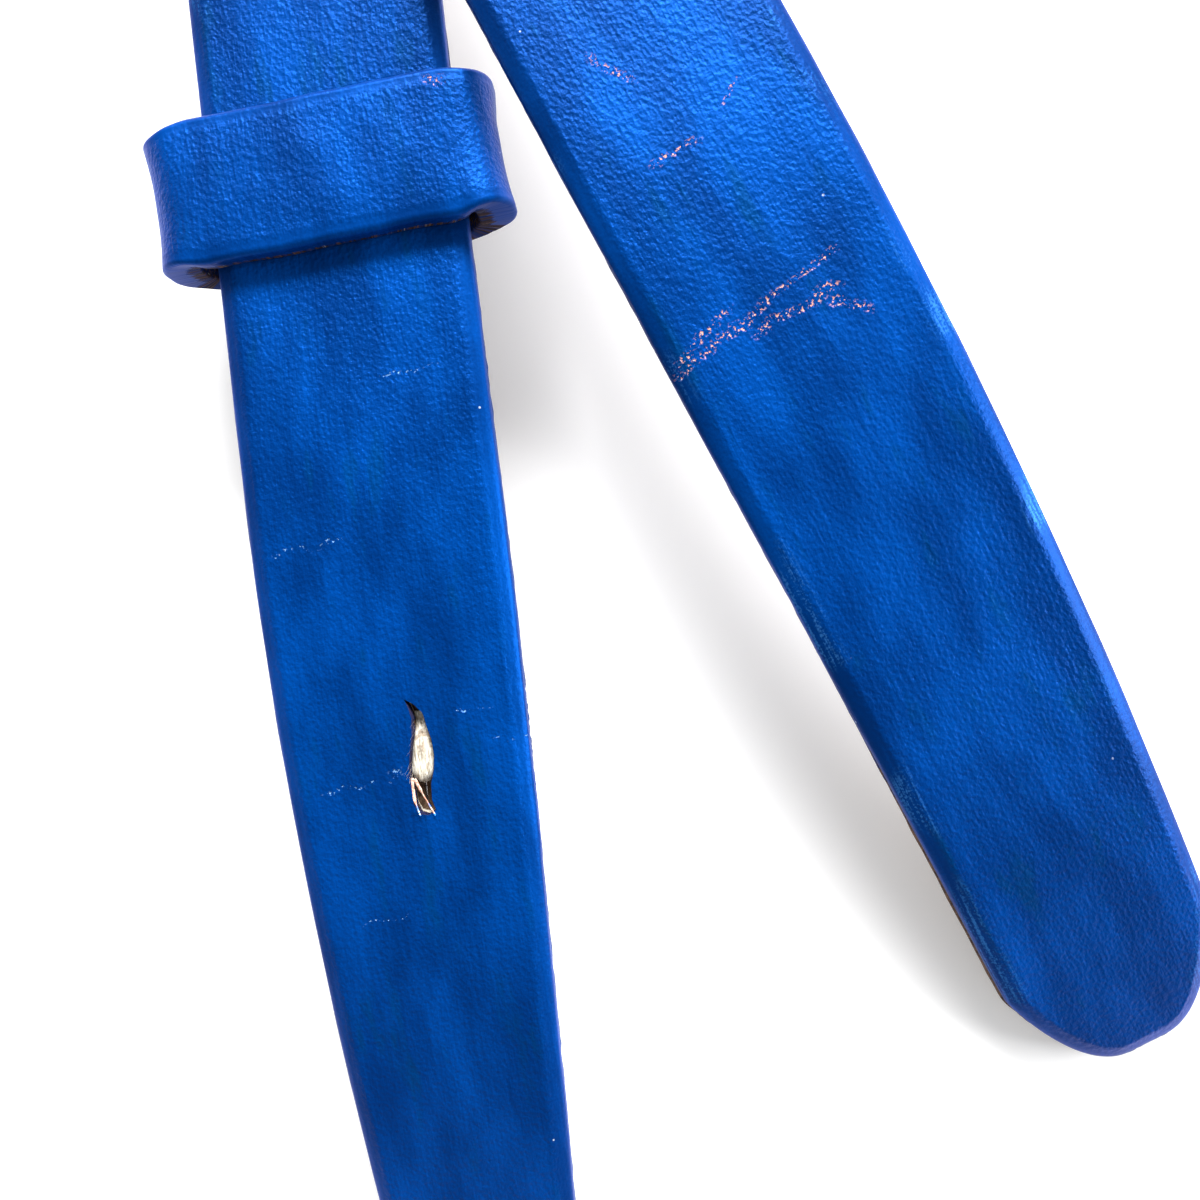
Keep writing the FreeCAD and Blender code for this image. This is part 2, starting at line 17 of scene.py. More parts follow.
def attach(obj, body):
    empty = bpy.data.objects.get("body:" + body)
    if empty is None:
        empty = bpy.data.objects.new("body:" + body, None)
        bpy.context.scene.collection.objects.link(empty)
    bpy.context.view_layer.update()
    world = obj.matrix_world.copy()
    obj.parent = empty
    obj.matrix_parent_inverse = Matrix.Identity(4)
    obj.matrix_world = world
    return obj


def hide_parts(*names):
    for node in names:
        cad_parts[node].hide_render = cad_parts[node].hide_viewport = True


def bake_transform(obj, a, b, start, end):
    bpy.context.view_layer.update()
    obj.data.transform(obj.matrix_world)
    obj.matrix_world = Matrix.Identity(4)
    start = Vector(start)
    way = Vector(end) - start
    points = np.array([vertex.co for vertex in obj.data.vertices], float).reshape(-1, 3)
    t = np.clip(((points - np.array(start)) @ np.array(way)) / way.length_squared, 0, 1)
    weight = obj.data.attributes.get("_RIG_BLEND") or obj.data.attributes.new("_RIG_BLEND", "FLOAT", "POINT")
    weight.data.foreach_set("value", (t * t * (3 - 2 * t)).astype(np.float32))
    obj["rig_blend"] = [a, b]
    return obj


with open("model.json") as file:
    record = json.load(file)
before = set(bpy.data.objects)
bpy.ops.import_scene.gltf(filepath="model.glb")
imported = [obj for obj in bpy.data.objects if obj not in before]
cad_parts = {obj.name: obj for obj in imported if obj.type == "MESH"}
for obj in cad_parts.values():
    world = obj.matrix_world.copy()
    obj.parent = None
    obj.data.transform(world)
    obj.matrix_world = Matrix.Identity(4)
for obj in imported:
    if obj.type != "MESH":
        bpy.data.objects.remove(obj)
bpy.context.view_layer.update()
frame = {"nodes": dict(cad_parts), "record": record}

MM = 0.001
SLOPE_STEP = 0.5 * MM              # either side of a place, to read the slope of the strap

# The strap, as it is cut
WIDTH = 38 * MM
THICKNESS = 4.5 * MM
BACKING = 1.4 * MM
FILLER = 1.4 * MM
RIM = 2.0 * MM
BEVEL_WIDTH = 2.4 * MM
BEVEL_DROP = 1.35 * MM
BEVEL_CRISPNESS = 0.5               # 0 rolls over softly, 1 is a straight chamfer
FLAP_TAPER = 0.28
FLAP_TAPER_REACH = 120 * MM
FLAP_TAPER_POWER = 1.5
TIP_TAPER = 0.15
TIP_TAPER_REACH = 160 * MM
TIP_TAPER_POWER = 2.0
END_ROUND = 17 * MM
END_FLAT = 0.2
END_FULLNESS = 1.2
BOTTOM = -THICKNESS / 2
BACKING_TOP = BOTTOM + BACKING
FILLER_TOP = BACKING_TOP + FILLER
TOP = THICKNESS / 2

# How it lies
CROSSING_ANGLE = math.radians(20.6)
BIGHT_RADIUS = 30 * MM
TWIST_OVERRUN = 25 * MM
SAG_START = 70 * MM
SAG_OVERRUN = 40 * MM
SLOT_LEG_REACH = 313 * MM
SLOT_LEG_RADIUS = 522 * MM
SLOT_LEG_SLOPE = math.radians(16.0)
TIP_LEG_REACH = 300 * MM
TIP_LEG_RADIUS = 434 * MM
TIP_LEG_SLOPE = math.radians(21.4)

# The fold, the slot and the keeper
FOLD = 90 * MM
FOLD_HALF = 7 * MM
SLOT_OFFSET = 1.8 * MM
KEEPER_DISTANCE = 87 * MM
KEEPER_SKEW = math.radians(3)
KEEPER_OFFSET = -1.0 * MM
KEEPER_WALL = 3.3 * MM
KEEPER_SIDE = 5.3 * MM
KEEPER_LENGTH = 22 * MM
KEEPER_OPENING = (42 * MM, 6.4 * MM)
KEEPER_CORNER = 5.5 * MM
KEEPER_INNER_CORNER = 1.5 * MM
KEEPER_FLARE = 0.9 * MM
KEEPER_SEAM = 0.4 * MM
KEEPER_CLEAR = 0.3 * MM
JOIN = FOLD + KEEPER_DISTANCE     # the flexing end meets the rest of the strap under the keeper

# The torn slot: its lips as (beyond the fold, across) in millimetres, from the keeper's side
SLIT_START = 9.0
SLIT_END = -8.4
LEFT_LIP = [(9.0, 1.0), (7.8, 1.45), (6.0, 1.8), (3.6, 1.5), (1.5, 0.95), (-0.9, 0.45), (-2.6, 0.25),
            (-4.7, 0.4), (-6.5, 0.4), (-7.9, 0.9), (-8.4, 2.2)]
RIGHT_LIP = [(9.0, 1.0), (8.1, 2.3), (6.6, 3.5), (4.5, 3.85), (2.7, 4.25), (0.3, 4.35), (-2.0, 3.95),
             (-3.8, 3.3), (-6.2, 3.1), (-7.8, 3.5), (-8.4, 2.2)]
LIP_REACH = 7.0 * MM
TIP_WEAR_REACH = 90 * MM            # the paint has worn off the edge this far from the tip
LIP_CENTRING = 45 * MM              # the slot's line comes back to the middle over this length

TUFT_FROM = -3.9 * MM               # the bulging filler, beyond the fold
TUFT_TO = 6.8 * MM
TUFT_HEIGHT = 2.65 * MM             # its crest above the backing

# Torn shreds: routes as (beyond the fold, across, out of the grain) in millimetres, and turns
LEFT_SHRED = [(-2.7, 0.6, 1.7), (-4.2, 0.45, 2.1), (-5.9, 0.6, 2.3), (-7.3, 0.8, 2.2),
              (-8.2, 1.15, 2.5)]
RIGHT_SHRED = [(-2.9, 0.9, 1.6), (-4.3, 1.5, 2.1), (-5.6, 2.1, 2.3), (-7.1, 2.7, 2.2),
               (-8.4, 3.35, 2.5)]
SHREDS = [(LEFT_SHRED, 0.3), (RIGHT_SHRED, -0.4)]


KEEPER_CRACKS = [(8.6, 41.0, 43.0, 0.0, 0.8)]


def smooth_step(share):
    """Eased rise from 0 to 1 as share goes from 0 to 1."""
    share = np.clip(share, 0.0, 1.0)
    return share * share * (3.0 - 2.0 * share)


def unit(vectors):
    """Vectors, one a row, each scaled to length 1."""
    return vectors / np.linalg.norm(vectors, axis=1)[:, None]


class StrapLine:
    """Middle line of the strap, in the row frame.  A place is a distance from the flap's end."""

    def __init__(self, slot_middle):
        half_angle = CROSSING_ANGLE / 2
        self.crossing_to_bight = BIGHT_RADIUS / math.tan(half_angle)
        self.bight_start = SLOT_LEG_REACH + self.crossing_to_bight
        self.bight_end = self.bight_start + BIGHT_RADIUS * (math.pi + 2 * half_angle)
        self.length = self.bight_end + self.crossing_to_bight + TIP_LEG_REACH
        self.twist_reach = self.crossing_to_bight + TWIST_OVERRUN
        self.sag_reach = self.crossing_to_bight + SAG_OVERRUN - SAG_START
        self.crossing = np.zeros(3)
        points, across, _grain = self.frames(np.array([FOLD]))
        at_fold = (points + across * SLOT_OFFSET)[0]
        self.crossing = np.array([slot_middle[0] - at_fold[0], slot_middle[1] - at_fold[1], 0.0])

    def leg_height(self, distance, slope, radius):
        """Height of a leg that rises from the table along an arc and then runs level."""
        short_of_top = np.maximum(radius * math.sin(slope) - distance, 0.0)
        arc_height = np.sqrt(radius ** 2 - short_of_top ** 2) - radius * math.cos(slope)
        return THICKNESS / 2 * math.cos(slope) + arc_height

    def height(self, places):
        """Height of the middle line above the table."""
        from_tip = self.length - places
        slot_leg = self.leg_height(places, SLOT_LEG_SLOPE, SLOT_LEG_RADIUS)
        tip_leg = self.leg_height(from_tip, TIP_LEG_SLOPE, TIP_LEG_RADIUS)
        slot_share = smooth_step((places - SLOT_LEG_REACH) / self.crossing_to_bight)
        tip_share = smooth_step((from_tip - TIP_LEG_REACH - SAG_START) / self.sag_reach)
        standing = WIDTH / 2
        before_bight = places < (self.bight_start + self.bight_end) / 2
        return np.where(before_bight, slot_leg + (standing - slot_leg) * slot_share,
                        tip_leg + (standing - tip_leg) * tip_share)

    def plan(self, places):
        """Points on the table under the places, and the strap's headings there."""
        zero = np.zeros_like(places)
        one = np.ones_like(places)
        slot_point = np.column_stack([zero, places - SLOT_LEG_REACH, zero])
        slot_heading = np.column_stack([zero, one, zero])
        turn = (places - self.bight_start) / BIGHT_RADIUS
        outward = np.column_stack([np.cos(turn), np.sin(turn), zero])
        centre = np.array([-BIGHT_RADIUS, self.crossing_to_bight, 0.0])
        bight_point = centre + outward * BIGHT_RADIUS
        bight_heading = np.column_stack([-np.sin(turn), np.cos(turn), zero])
        tip_direction = np.array([math.sin(CROSSING_ANGLE), -math.cos(CROSSING_ANGLE), 0.0])
        past_crossing = places - self.length + TIP_LEG_REACH
        tip_point = tip_direction * past_crossing[:, None]
        tip_heading = tip_direction * one[:, None]
        before = (places < self.bight_start)[:, None]
        after = (places > self.bight_end)[:, None]
        point = np.where(before, slot_point, np.where(after, tip_point, bight_point))
        heading = np.where(before, slot_heading, np.where(after, tip_heading, bight_heading))
        return point + self.crossing, heading

    def twist(self, places):
        """Angle from lying flat, 0, to standing on edge, a quarter turn."""
        from_tip = self.length - places
        rising = smooth_step((places - SLOT_LEG_REACH) / self.twist_reach)
        falling = smooth_step((from_tip - TIP_LEG_REACH) / self.twist_reach)
        return math.pi / 2 * np.minimum(rising, falling)

    def frames(self, places):
        """Middle points, directions of the width and of the grain side."""
        points, headings = self.plan(places)
        before = np.maximum(places - SLOPE_STEP, 0.0)
        after = np.minimum(places + SLOPE_STEP, self.length)
        rise = (self.height(after) - self.height(before)) / (after - before)
        travel = unit(headings + rise[:, None] * np.array([0.0, 0.0, 1.0]))
        level = unit(np.cross(travel, [0.0, 0.0, 1.0]))
        upward = np.cross(level, travel)
        angle = self.twist(places)[:, None]
        across = level * np.cos(angle) - upward * np.sin(angle)
        grain = upward * np.cos(angle) + level * np.sin(angle)
        points[:, 2] = self.height(places)
        return points, across, grain

    def half_width(self, places):
        """Half the strap's width: tapered towards both ends, with rounded corners."""
        from_tip = self.length - places
        flap_share = np.maximum(1 - places / FLAP_TAPER_REACH, 0.0) ** FLAP_TAPER_POWER
        tip_share = np.maximum(1 - from_tip / TIP_TAPER_REACH, 0.0) ** TIP_TAPER_POWER
        half = WIDTH / 2 * (1 - FLAP_TAPER * flap_share - TIP_TAPER * tip_share)
        short = np.clip(1 - np.minimum(places, from_tip) / END_ROUND, 0.0, 1.0)
        corner = np.sqrt(1 - short ** END_FULLNESS)
        return half * (END_FLAT + (1 - END_FLAT) * corner)


def wander(values, wavelength, seed):
    """Smooth irregular wave from -1 to 1 along values."""
    phase = values / wavelength * 2 * math.pi
    return (np.sin(phase + seed) + 0.6 * np.sin(1.73 * phase + 2.1 * seed)
            + 0.4 * np.sin(2.91 * phase + 3.7 * seed)) / 2


def lumps(across, along, size, seed):
    """Irregular lumps of about the given size over the strap, from -1 to 1."""
    points = np.column_stack([across.ravel() / size, along.ravel() / size])
    heights = [noise.noise(Vector((x, y, seed))) for x, y in points]
    return np.array(heights).reshape(across.shape)


def outline_distance(line, across, places):
    """Distance of points on the strap from its outline, seen along the grain."""
    half = line.half_width(places)
    nearest = np.maximum(half - np.abs(across), 0.0)
    for end in (0.0, line.length):
        close = np.abs(places - end) < 2 * END_ROUND
        if not close.any():
            continue
        back = 2.2 * END_ROUND * np.linspace(0, 1, 260) ** 2
        rim_half = line.half_width(np.abs(end - back))
        rim = np.vstack([np.column_stack([rim_half, back]), np.column_stack([-rim_half, back]),
                         np.column_stack([np.linspace(-1, 1, 30) * rim_half[0], np.zeros(30)])])
        points = np.column_stack([across[close], np.abs(places[close] - end)])
        gaps = np.linalg.norm(points[:, None, :] - rim[None, :, :], axis=2)
        nearest[close] = np.minimum(nearest[close], gaps.min(axis=1))
    return nearest


def slit_lips(line, places):
    """Where the slot's left and right lips lie across the strap; they meet beyond its ends."""
    beyond_fold = (places - FOLD) / MM
    centred = smooth_step(np.minimum(places, line.length - places) / LIP_CENTRING)
    lips = []
    for outline in (LEFT_LIP, RIGHT_LIP):
        along = [point[0] for point in reversed(outline)]
        across = [point[1] for point in reversed(outline)]
        lips.append(np.interp(beyond_fold, along, across) * MM * centred)
    return lips


def grain_surface(line, across, places):
    """Height of the painted grain side: bevelled along the outline and gently dented."""
    edge = outline_distance(line, across, places)
    inward = 1 - np.minimum(edge / BEVEL_WIDTH, 1.0)
    rounded = 1 - np.sqrt(np.maximum(1 - inward ** 2, 0.0))
    fall = BEVEL_DROP * (BEVEL_CRISPNESS * inward + (1 - BEVEL_CRISPNESS) * rounded)
    away = smooth_step(edge / (6 * MM))
    broad = 0.16 * MM * lumps(across, places, 16 * MM, 1.3)
    small = 0.05 * MM * lumps(across, places, 4 * MM, 5.1)
    swell = broad + small
    return TOP - fall + away * swell, edge


def column_depths(spans):
    """Distances in from the edge at which the columns of the grain side run, row by row."""
    bevel = np.array([0.0, 0.05, 0.15, 0.3, 0.5, 0.75, 1.05, 1.4, 1.8, 2.4]) * MM
    shrink = np.minimum(1.0, 0.55 * spans / bevel[-1])[:, None]
    inner = np.linspace(0, 1, 47)[1:]
    outer_part = bevel[None, :] * shrink
    last = outer_part[:, -1:]
    return np.hstack([outer_part, last + (spans[:, None] - last) * inner[None, :]])


class Section:
    """Closed half sections of one layer: position across, out of the grain, and paint's wear.

    The last wall_steps of the way round are the wall of the slot, absent where it is shut.
    """

    def __init__(self, wall_steps):
        self.wall_steps = wall_steps
        self.across = []
        self.out = []
        self.raw = []
        self.unrolled = []

    def add(self, across, out, raw):
        """One more column of the half section, for every row of the piece."""
        self.across.append(across)
        self.out.append(out)
        self.raw.append(np.broadcast_to(raw, across.shape))

    def arrays(self):
        """The columns as arrays, with the distance round the section for the finish."""
        across = np.column_stack(self.across)
        out = np.column_stack(self.out)
        steps = np.hypot(np.diff(across, axis=1), np.diff(out, axis=1))
        around = np.hstack([np.zeros((len(across), 1)), np.cumsum(steps, axis=1)])
        return across, out, np.column_stack(self.raw), around


def cover_half(line, places, side, channel):
    """Half section of the cover on one side of the slot's line."""
    half = line.half_width(places) * (1 + 0.006 * wander(places, 43 * MM, side + 2.0))
    lips = slit_lips(line, places)
    middle = (lips[0] + lips[1]) / 2
    lip = lips[0] if side < 0 else lips[1]
    spans = np.abs(side * half - middle)
    depths = column_depths(spans)[:, ::-1]
    section = Section(wall_steps=2)
    for column in range(depths.shape[1]):
        across = side * (half - depths[:, column])
        near = np.maximum(1 - np.abs(across - middle) / LIP_REACH, 0.0)
        gap = np.abs(lip - middle)
        moved = across + side * gap * near ** 1.5
        out, _edge = grain_surface(line, moved, places)
        out = out + 0.35 * MM * smooth_step(gap / (1.2 * MM)) * near ** 3 * (0.6 - 0.9 * (side > 0))
        torn = smooth_step((near - 0.965) / 0.03) * smooth_step(gap / (0.3 * MM))
        section.add(moved, out, 0.55 * torn)
    shoulder = section.out[-1]
    near_tip = smooth_step((TIP_WEAR_REACH - (line.length - places)) / TIP_WEAR_REACH)
    for share in (0.35, 0.7, 1.0):
        bulge = 0.14 * MM * math.sin(math.pi * share)
        worn = share * (0.1 + (0.85 if side > 0 else 0.35) * near_tip)
        section.add(side * (half + bulge), shoulder + (BACKING_TOP - shoulder) * share, worn)
    inner = np.maximum(half - RIM, 0.6 * half)
    channel_top = BACKING_TOP + FILLER * channel
    section.add(side * inner, np.full_like(half, BACKING_TOP), 1.0)
    section.add(side * inner, channel_top, 1.0)
    torn = smooth_step(np.abs(lip - middle) / MM)
    section.add(lip - side * 0.25 * MM * torn, channel_top, 1.0)
    section.add(lip - side * 0.20 * MM * torn, (channel_top + TOP) / 2, 1.0)
    return section


def plain_half(line, places, side, inset, low, high, ragged, slot_share):
    """Half section of the filler or the backing: a flat strip with the slot through it.

    The slot is open for slot_share of its width in the cover.
    """
    half = line.half_width(places) - inset
    half = half + ragged * (wander(places, 5.1 * MM, side + 4.0) + wander(places, 1.7 * MM, side))
    lips = slit_lips(line, places)
    middle = (lips[0] + lips[1]) / 2
    lip = lips[0] if side < 0 else lips[1]
    lip = middle + (lip - middle) * slot_share
    levels = np.full_like(half, high), np.full_like(half, low)
    corner = np.minimum(0.25 * MM, 0.25 * (levels[0] - levels[1]))
    section = Section(wall_steps=1)
    for share in (0.0, 0.25, 0.5, 0.75):
        section.add(lip + (side * (half - corner) - lip) * share, levels[0], 0.0)
    section.add(side * (half - corner), levels[0], 0.0)
    section.add(side * half, levels[0] - corner, 1.0)
    section.add(side * (half + 0.3 * ragged), (levels[0] + levels[1]) / 2, 1.0)
    section.add(side * half, levels[1] + corner, 1.0)
    section.add(side * (half - corner), levels[1], 0.3)
    for share in (0.75, 0.5, 0.25, 0.0):
        section.add(lip + (side * (half - corner) - lip) * share, levels[1], 0.3)
    return section


def finish_mesh(name, bm, material, smooth_angle=math.radians(40)):
    """Turn bmesh into an object with outward faces, one material and sharp cut corners."""
    bmesh.ops.remove_doubles(bm, verts=bm.verts, dist=0.002 * MM)
    bmesh.ops.dissolve_degenerate(bm, edges=bm.edges, dist=0.0015 * MM)
    bmesh.ops.delete(bm, geom=[v for v in bm.verts if not v.link_faces], context="VERTS")
    bmesh.ops.recalc_face_normals(bm, faces=bm.faces)
    mesh = bpy.data.meshes.new(name)
    bm.to_mesh(mesh)
    bm.free()
    mesh.materials.append(material)
    mesh.polygons.foreach_set("use_smooth", [True] * len(mesh.polygons))
    mesh.set_sharp_from_angle(angle=smooth_angle)
    piece = bpy.data.objects.new(name, mesh)
    bpy.context.scene.collection.objects.link(piece)
    return piece


def leather_mesh():
    """Empty mesh whose vertices can hold strap coordinates and how bare the leather is."""
    bm = bmesh.new()
    bm.verts.layers.float_vector.new("strap_place")
    bm.verts.layers.float.new("raw_leather")
    return bm


def write_place(bm, vertices, across, places, raw, edge):
    """Store strap coordinates on the vertices, for the finishes to read, in millimetres."""
    place_layer = bm.verts.layers.float_vector["strap_place"]
    raw_layer = bm.verts.layers.float["raw_leather"]
    for vertex, u, v, wear, inward in zip(vertices, across, places, raw, edge):
        vertex[place_layer] = (u / MM, v / MM, inward / MM)
        vertex[raw_layer] = wear


def lay_on_strap(line, name, places, halves, material):
    """Solid piece whose rows lie at places along the strap, made of a left and a right half."""
    bm = leather_mesh()
    points, across_axis, grain_axis = line.frames(places)
    lips = slit_lips(line, places)
    open_here = lips[1] - lips[0] > 0.01 * MM
    for side, section in halves.items():
        across, out, raw, around = section.arrays()
        spots = (points[:, None, :] + across_axis[:, None, :] * across[:, :, None]
                 + grain_axis[:, None, :] * out[:, :, None])
        rows = [[bm.verts.new(spot) for spot in row] for row in spots]
        unrolled = across[:, :1] + side * around
        _top, edge = grain_surface(line, across, np.repeat(places[:, None], across.shape[1], axis=1))
        for i, row in enumerate(rows):
            write_place(bm, row, unrolled[i], [places[i]] * len(row), raw[i], edge[i])
        count = len(rows[0])
        for i in range(len(rows) - 1):
            walled = open_here[i] or open_here[i + 1]
            for k in range(count if walled else count - section.wall_steps):
                corners = (rows[i][k], rows[i][(k + 1) % count],
                           rows[i + 1][(k + 1) % count], rows[i + 1][k])
                bm.faces.new(corners)
        for row in (rows[0], rows[-1]):
            bm.faces.new(row)
    return finish_mesh(name, bm, material)


def spaced(start, end, step):
    """Evenly spaced places from start up to, but not including, end."""
    count = max(math.ceil((end - start) / step), 1)
    return list(np.linspace(start, end, count, endpoint=False))


def rounding(steps):
    """Distances from a rounded end, closer together towards it."""
    return [END_ROUND * (i / steps) ** 2 for i in range(steps + 1)]


def flexing_places():
    """Rows of the flexing end: flap, fold and slot, up to the join under the keeper."""
    slit_low = FOLD + SLIT_END * MM
    slit_high = FOLD + SLIT_START * MM
    places = rounding(26)[:-1] + spaced(END_ROUND, slit_low, 1.4 * MM)
    places += spaced(slit_low, slit_high, 0.25 * MM) + spaced(slit_high, JOIN, 1.4 * MM)
    return np.array(places + [JOIN])


def lying_places(line):
    """Rows of the rest of the strap: leg, standing loop and the leg with the tip."""
    round_start = line.length - END_ROUND
    places = spaced(JOIN, SLOT_LEG_REACH, 2.4 * MM)
    places += spaced(SLOT_LEG_REACH, line.length - TIP_LEG_REACH, 3.2 * MM)
    places += spaced(line.length - TIP_LEG_REACH, round_start, 2.0 * MM)
    return np.array(places + [line.length - back for back in reversed(rounding(44))])


def with_closed_end(places, end):
    """Rows with the channel's share of depth: shut over the rim at the strap's own end."""
    rim_place = abs(end - RIM)
    channel = (np.abs(places - end) > RIM).astype(float)
    index = int(np.argmax(channel)) if end == 0.0 else int(len(channel) - np.argmax(channel[::-1]))
    pair = [0.0, 1.0] if end == 0.0 else [1.0, 0.0]
    return np.insert(places, index, [rim_place, rim_place]), np.insert(channel, index, pair)


def make_cover(line, name, places, end, material):
    """Painted cover of one stretch of the strap."""
    rows, channel = with_closed_end(places, end)
    halves = {side: cover_half(line, rows, side, channel) for side in (-1, 1)}
    return lay_on_strap(line, name, rows, halves, material)


def make_backing(line, name, places, material):
    """Leather backing of one stretch of the strap, with its raw cut edge."""
    near_tip = smooth_step((TIP_WEAR_REACH - (line.length - places)) / TIP_WEAR_REACH)
    near_tip = near_tip * smooth_step((line.length - places) / (12 * MM))
    halves = {}
    for side in (-1, 1):
        proud = (0.55 if side > 0 else 0.1) * MM * near_tip
        halves[side] = plain_half(line, places, side, 0.05 * MM - proud, BOTTOM, BACKING_TOP,
                                  0.07 * MM, slot_share=0.12)
    return lay_on_strap(line, name, places, halves, material)


def make_filler(line, name, places, material):
    """Soft filler of one stretch, inside the cover's channel."""
    inside = places[(places > RIM) & (places < line.length - RIM)]
    halves = {side: plain_half(line, inside, side, RIM, BACKING_TOP, FILLER_TOP, 0.0, slot_share=1.0)
              for side in (-1, 1)}
    return lay_on_strap(line, name, inside, halves, material)


def on_strap(line, place, across, out):
    """Point at strap coordinates, in the row frame."""
    points, across_axis, grain_axis = line.frames(np.array([place]))
    return Vector(points[0] + across_axis[0] * across + grain_axis[0] * out)


def tuft_shape(line, beyond_fold, share):
    """Across and out of the grain for the filler bulging from the slot; share runs -1 to 1."""
    left, right = slit_lips(line, np.array([FOLD + beyond_fold]))
    start, end, blunt = TUFT_FROM, TUFT_TO, 2.2 * MM
    short = max((start + blunt - beyond_fold) / blunt, 0.0)
    round_end = math.sqrt(max(1 - short ** 2, 0.0))
    middle = (left[0] + right[0]) / 2 + 0.3 * MM * short
    half = ((right[0] - left[0]) / 2 + 0.1 * MM) * round_end
    sunk = float(smooth_step((beyond_fold - 1.5 * MM) / (end - 1.5 * MM)))
    crest = BACKING_TOP + (TUFT_HEIGHT * (1 - 0.62 * sunk)) * (0.35 + 0.65 * round_end)
    strand = 0.10 * MM * math.sin(share * 9 + beyond_fold / MM * 0.7) * (1 - abs(share))
    bulge = math.sqrt(max(1 - share ** 2, 0.0)) ** 0.45
    return middle + half * share, BACKING_TOP + (crest - BACKING_TOP) * bulge + strand


def make_tuft_core(line, material):
    """Matted filler that bulges out of the slot: rounded, with ridges along it."""
    bm = bmesh.new()
    rows = []
    for beyond_fold in np.linspace(TUFT_FROM + 0.02 * MM, TUFT_TO, 34):
        row = []
        for share in np.linspace(-1, 1, 21):
            across, out = tuft_shape(line, beyond_fold, share)
            row.append(bm.verts.new(on_strap(line, FOLD + beyond_fold, across, out)))
        rows.append(row)
    for i in range(len(rows) - 1):
        for k in range(len(rows[0]) - 1):
            bm.faces.new((rows[i][k], rows[i][k + 1], rows[i + 1][k + 1], rows[i + 1][k]))
        bm.faces.new((rows[i][-1], rows[i][0], rows[i + 1][0], rows[i + 1][-1]))
    for row in (rows[0], rows[-1]):
        bm.faces.new(row)
    return finish_mesh("tuft_core", bm, material, math.radians(80))


def make_fibre_tree():
    """Geometry nodes that scatter bent fibres over a flat patch, lying roughly one way."""
    tree = bpy.data.node_groups.new("loose_fibres", "GeometryNodeTree")
    inputs = [("Count", "NodeSocketInt"), ("Patch Width", "NodeSocketFloat"),
              ("Patch Length", "NodeSocketFloat"), ("Patch Depth", "NodeSocketFloat"),
              ("Fibre Length", "NodeSocketFloat"), ("Fibre Radius", "NodeSocketFloat"),
              ("Bend", "NodeSocketFloat"), ("Stray", "NodeSocketFloat"),
              ("Seed", "NodeSocketInt"), ("Material", "NodeSocketMaterial")]
    for name, kind in inputs:
        tree.interface.new_socket(name, in_out="INPUT", socket_type=kind)
    tree.interface.new_socket("Geometry", in_out="OUTPUT", socket_type="NodeSocketGeometry")
    group_in = tree.nodes.new("NodeGroupInput")
    group_out = tree.nodes.new("NodeGroupOutput")

    def add(kind, links, **settings):
        """One node with its settings and its sockets' links or values."""
        node = tree.nodes.new(kind)
        for name, value in settings.items():
            setattr(node, name, value)
        for socket, value in links.items():
            if isinstance(value, bpy.types.NodeSocket):
                tree.links.new(value, node.inputs[socket])
            else:
                node.inputs[socket].default_value = value
        return node

    def given(name):
        """A named input of the tree."""
        return group_in.outputs[name]

    def times(value, factor):
        """A value times a number."""
        return add("ShaderNodeMath", {0: value, 1: factor}, operation="MULTIPLY").outputs[0]

    def vector(x, y, z):
        """Three values as one vector."""
        return add("ShaderNodeCombineXYZ", {0: x, 1: y, 2: z}).outputs[0]

    low = vector(times(given("Patch Width"), -0.5), times(given("Patch Length"), -0.5), 0.0)
    high = vector(times(given("Patch Width"), 0.5), times(given("Patch Length"), 0.5),
                  given("Patch Depth"))
    spot = add("FunctionNodeRandomValue", {0: low, 1: high, "Seed": given("Seed")},
               data_type="FLOAT_VECTOR")
    points = add("GeometryNodePoints", {"Count": given("Count"), "Position": spot.outputs[0]})
    arc = add("GeometryNodeCurveQuadraticBezier",
              {"Resolution": 8, "Start": vector(0.0, times(given("Fibre Length"), -0.5), 0.0),
               "Middle": vector(given("Bend"), 0.0, times(given("Bend"), 0.6)),
               "End": vector(0.0, times(given("Fibre Length"), 0.5), 0.0)})
    ring = add("GeometryNodeCurvePrimitiveCircle",
               {"Resolution": 5, "Radius": given("Fibre Radius")})
    fibre = add("GeometryNodeCurveToMesh", {"Curve": arc.outputs[0], "Profile Curve": ring.outputs[0],
                                            "Fill Caps": True})
    lean = vector(times(given("Stray"), 0.5), times(given("Stray"), 3.0), given("Stray"))
    lean_back = vector(times(given("Stray"), -0.5), times(given("Stray"), -3.0),
                       times(given("Stray"), -1.0))
    turn = add("FunctionNodeRandomValue", {0: lean_back, 1: lean, "Seed": given("Seed")},
               data_type="FLOAT_VECTOR")
    size = add("FunctionNodeRandomValue", {2: 0.45, 3: 1.15, "Seed": given("Seed")},
               data_type="FLOAT")
    placed = add("GeometryNodeInstanceOnPoints",
                 {"Points": points.outputs[0], "Instance": fibre.outputs[0],
                  "Rotation": turn.outputs[0], "Scale": size.outputs[1]})
    real = add("GeometryNodeRealizeInstances", {"Geometry": placed.outputs[0]})
    coated = add("GeometryNodeSetMaterial", {"Geometry": real.outputs[0], "Material": given("Material")})
    tree.links.new(coated.outputs[0], group_out.inputs[0])
    return tree


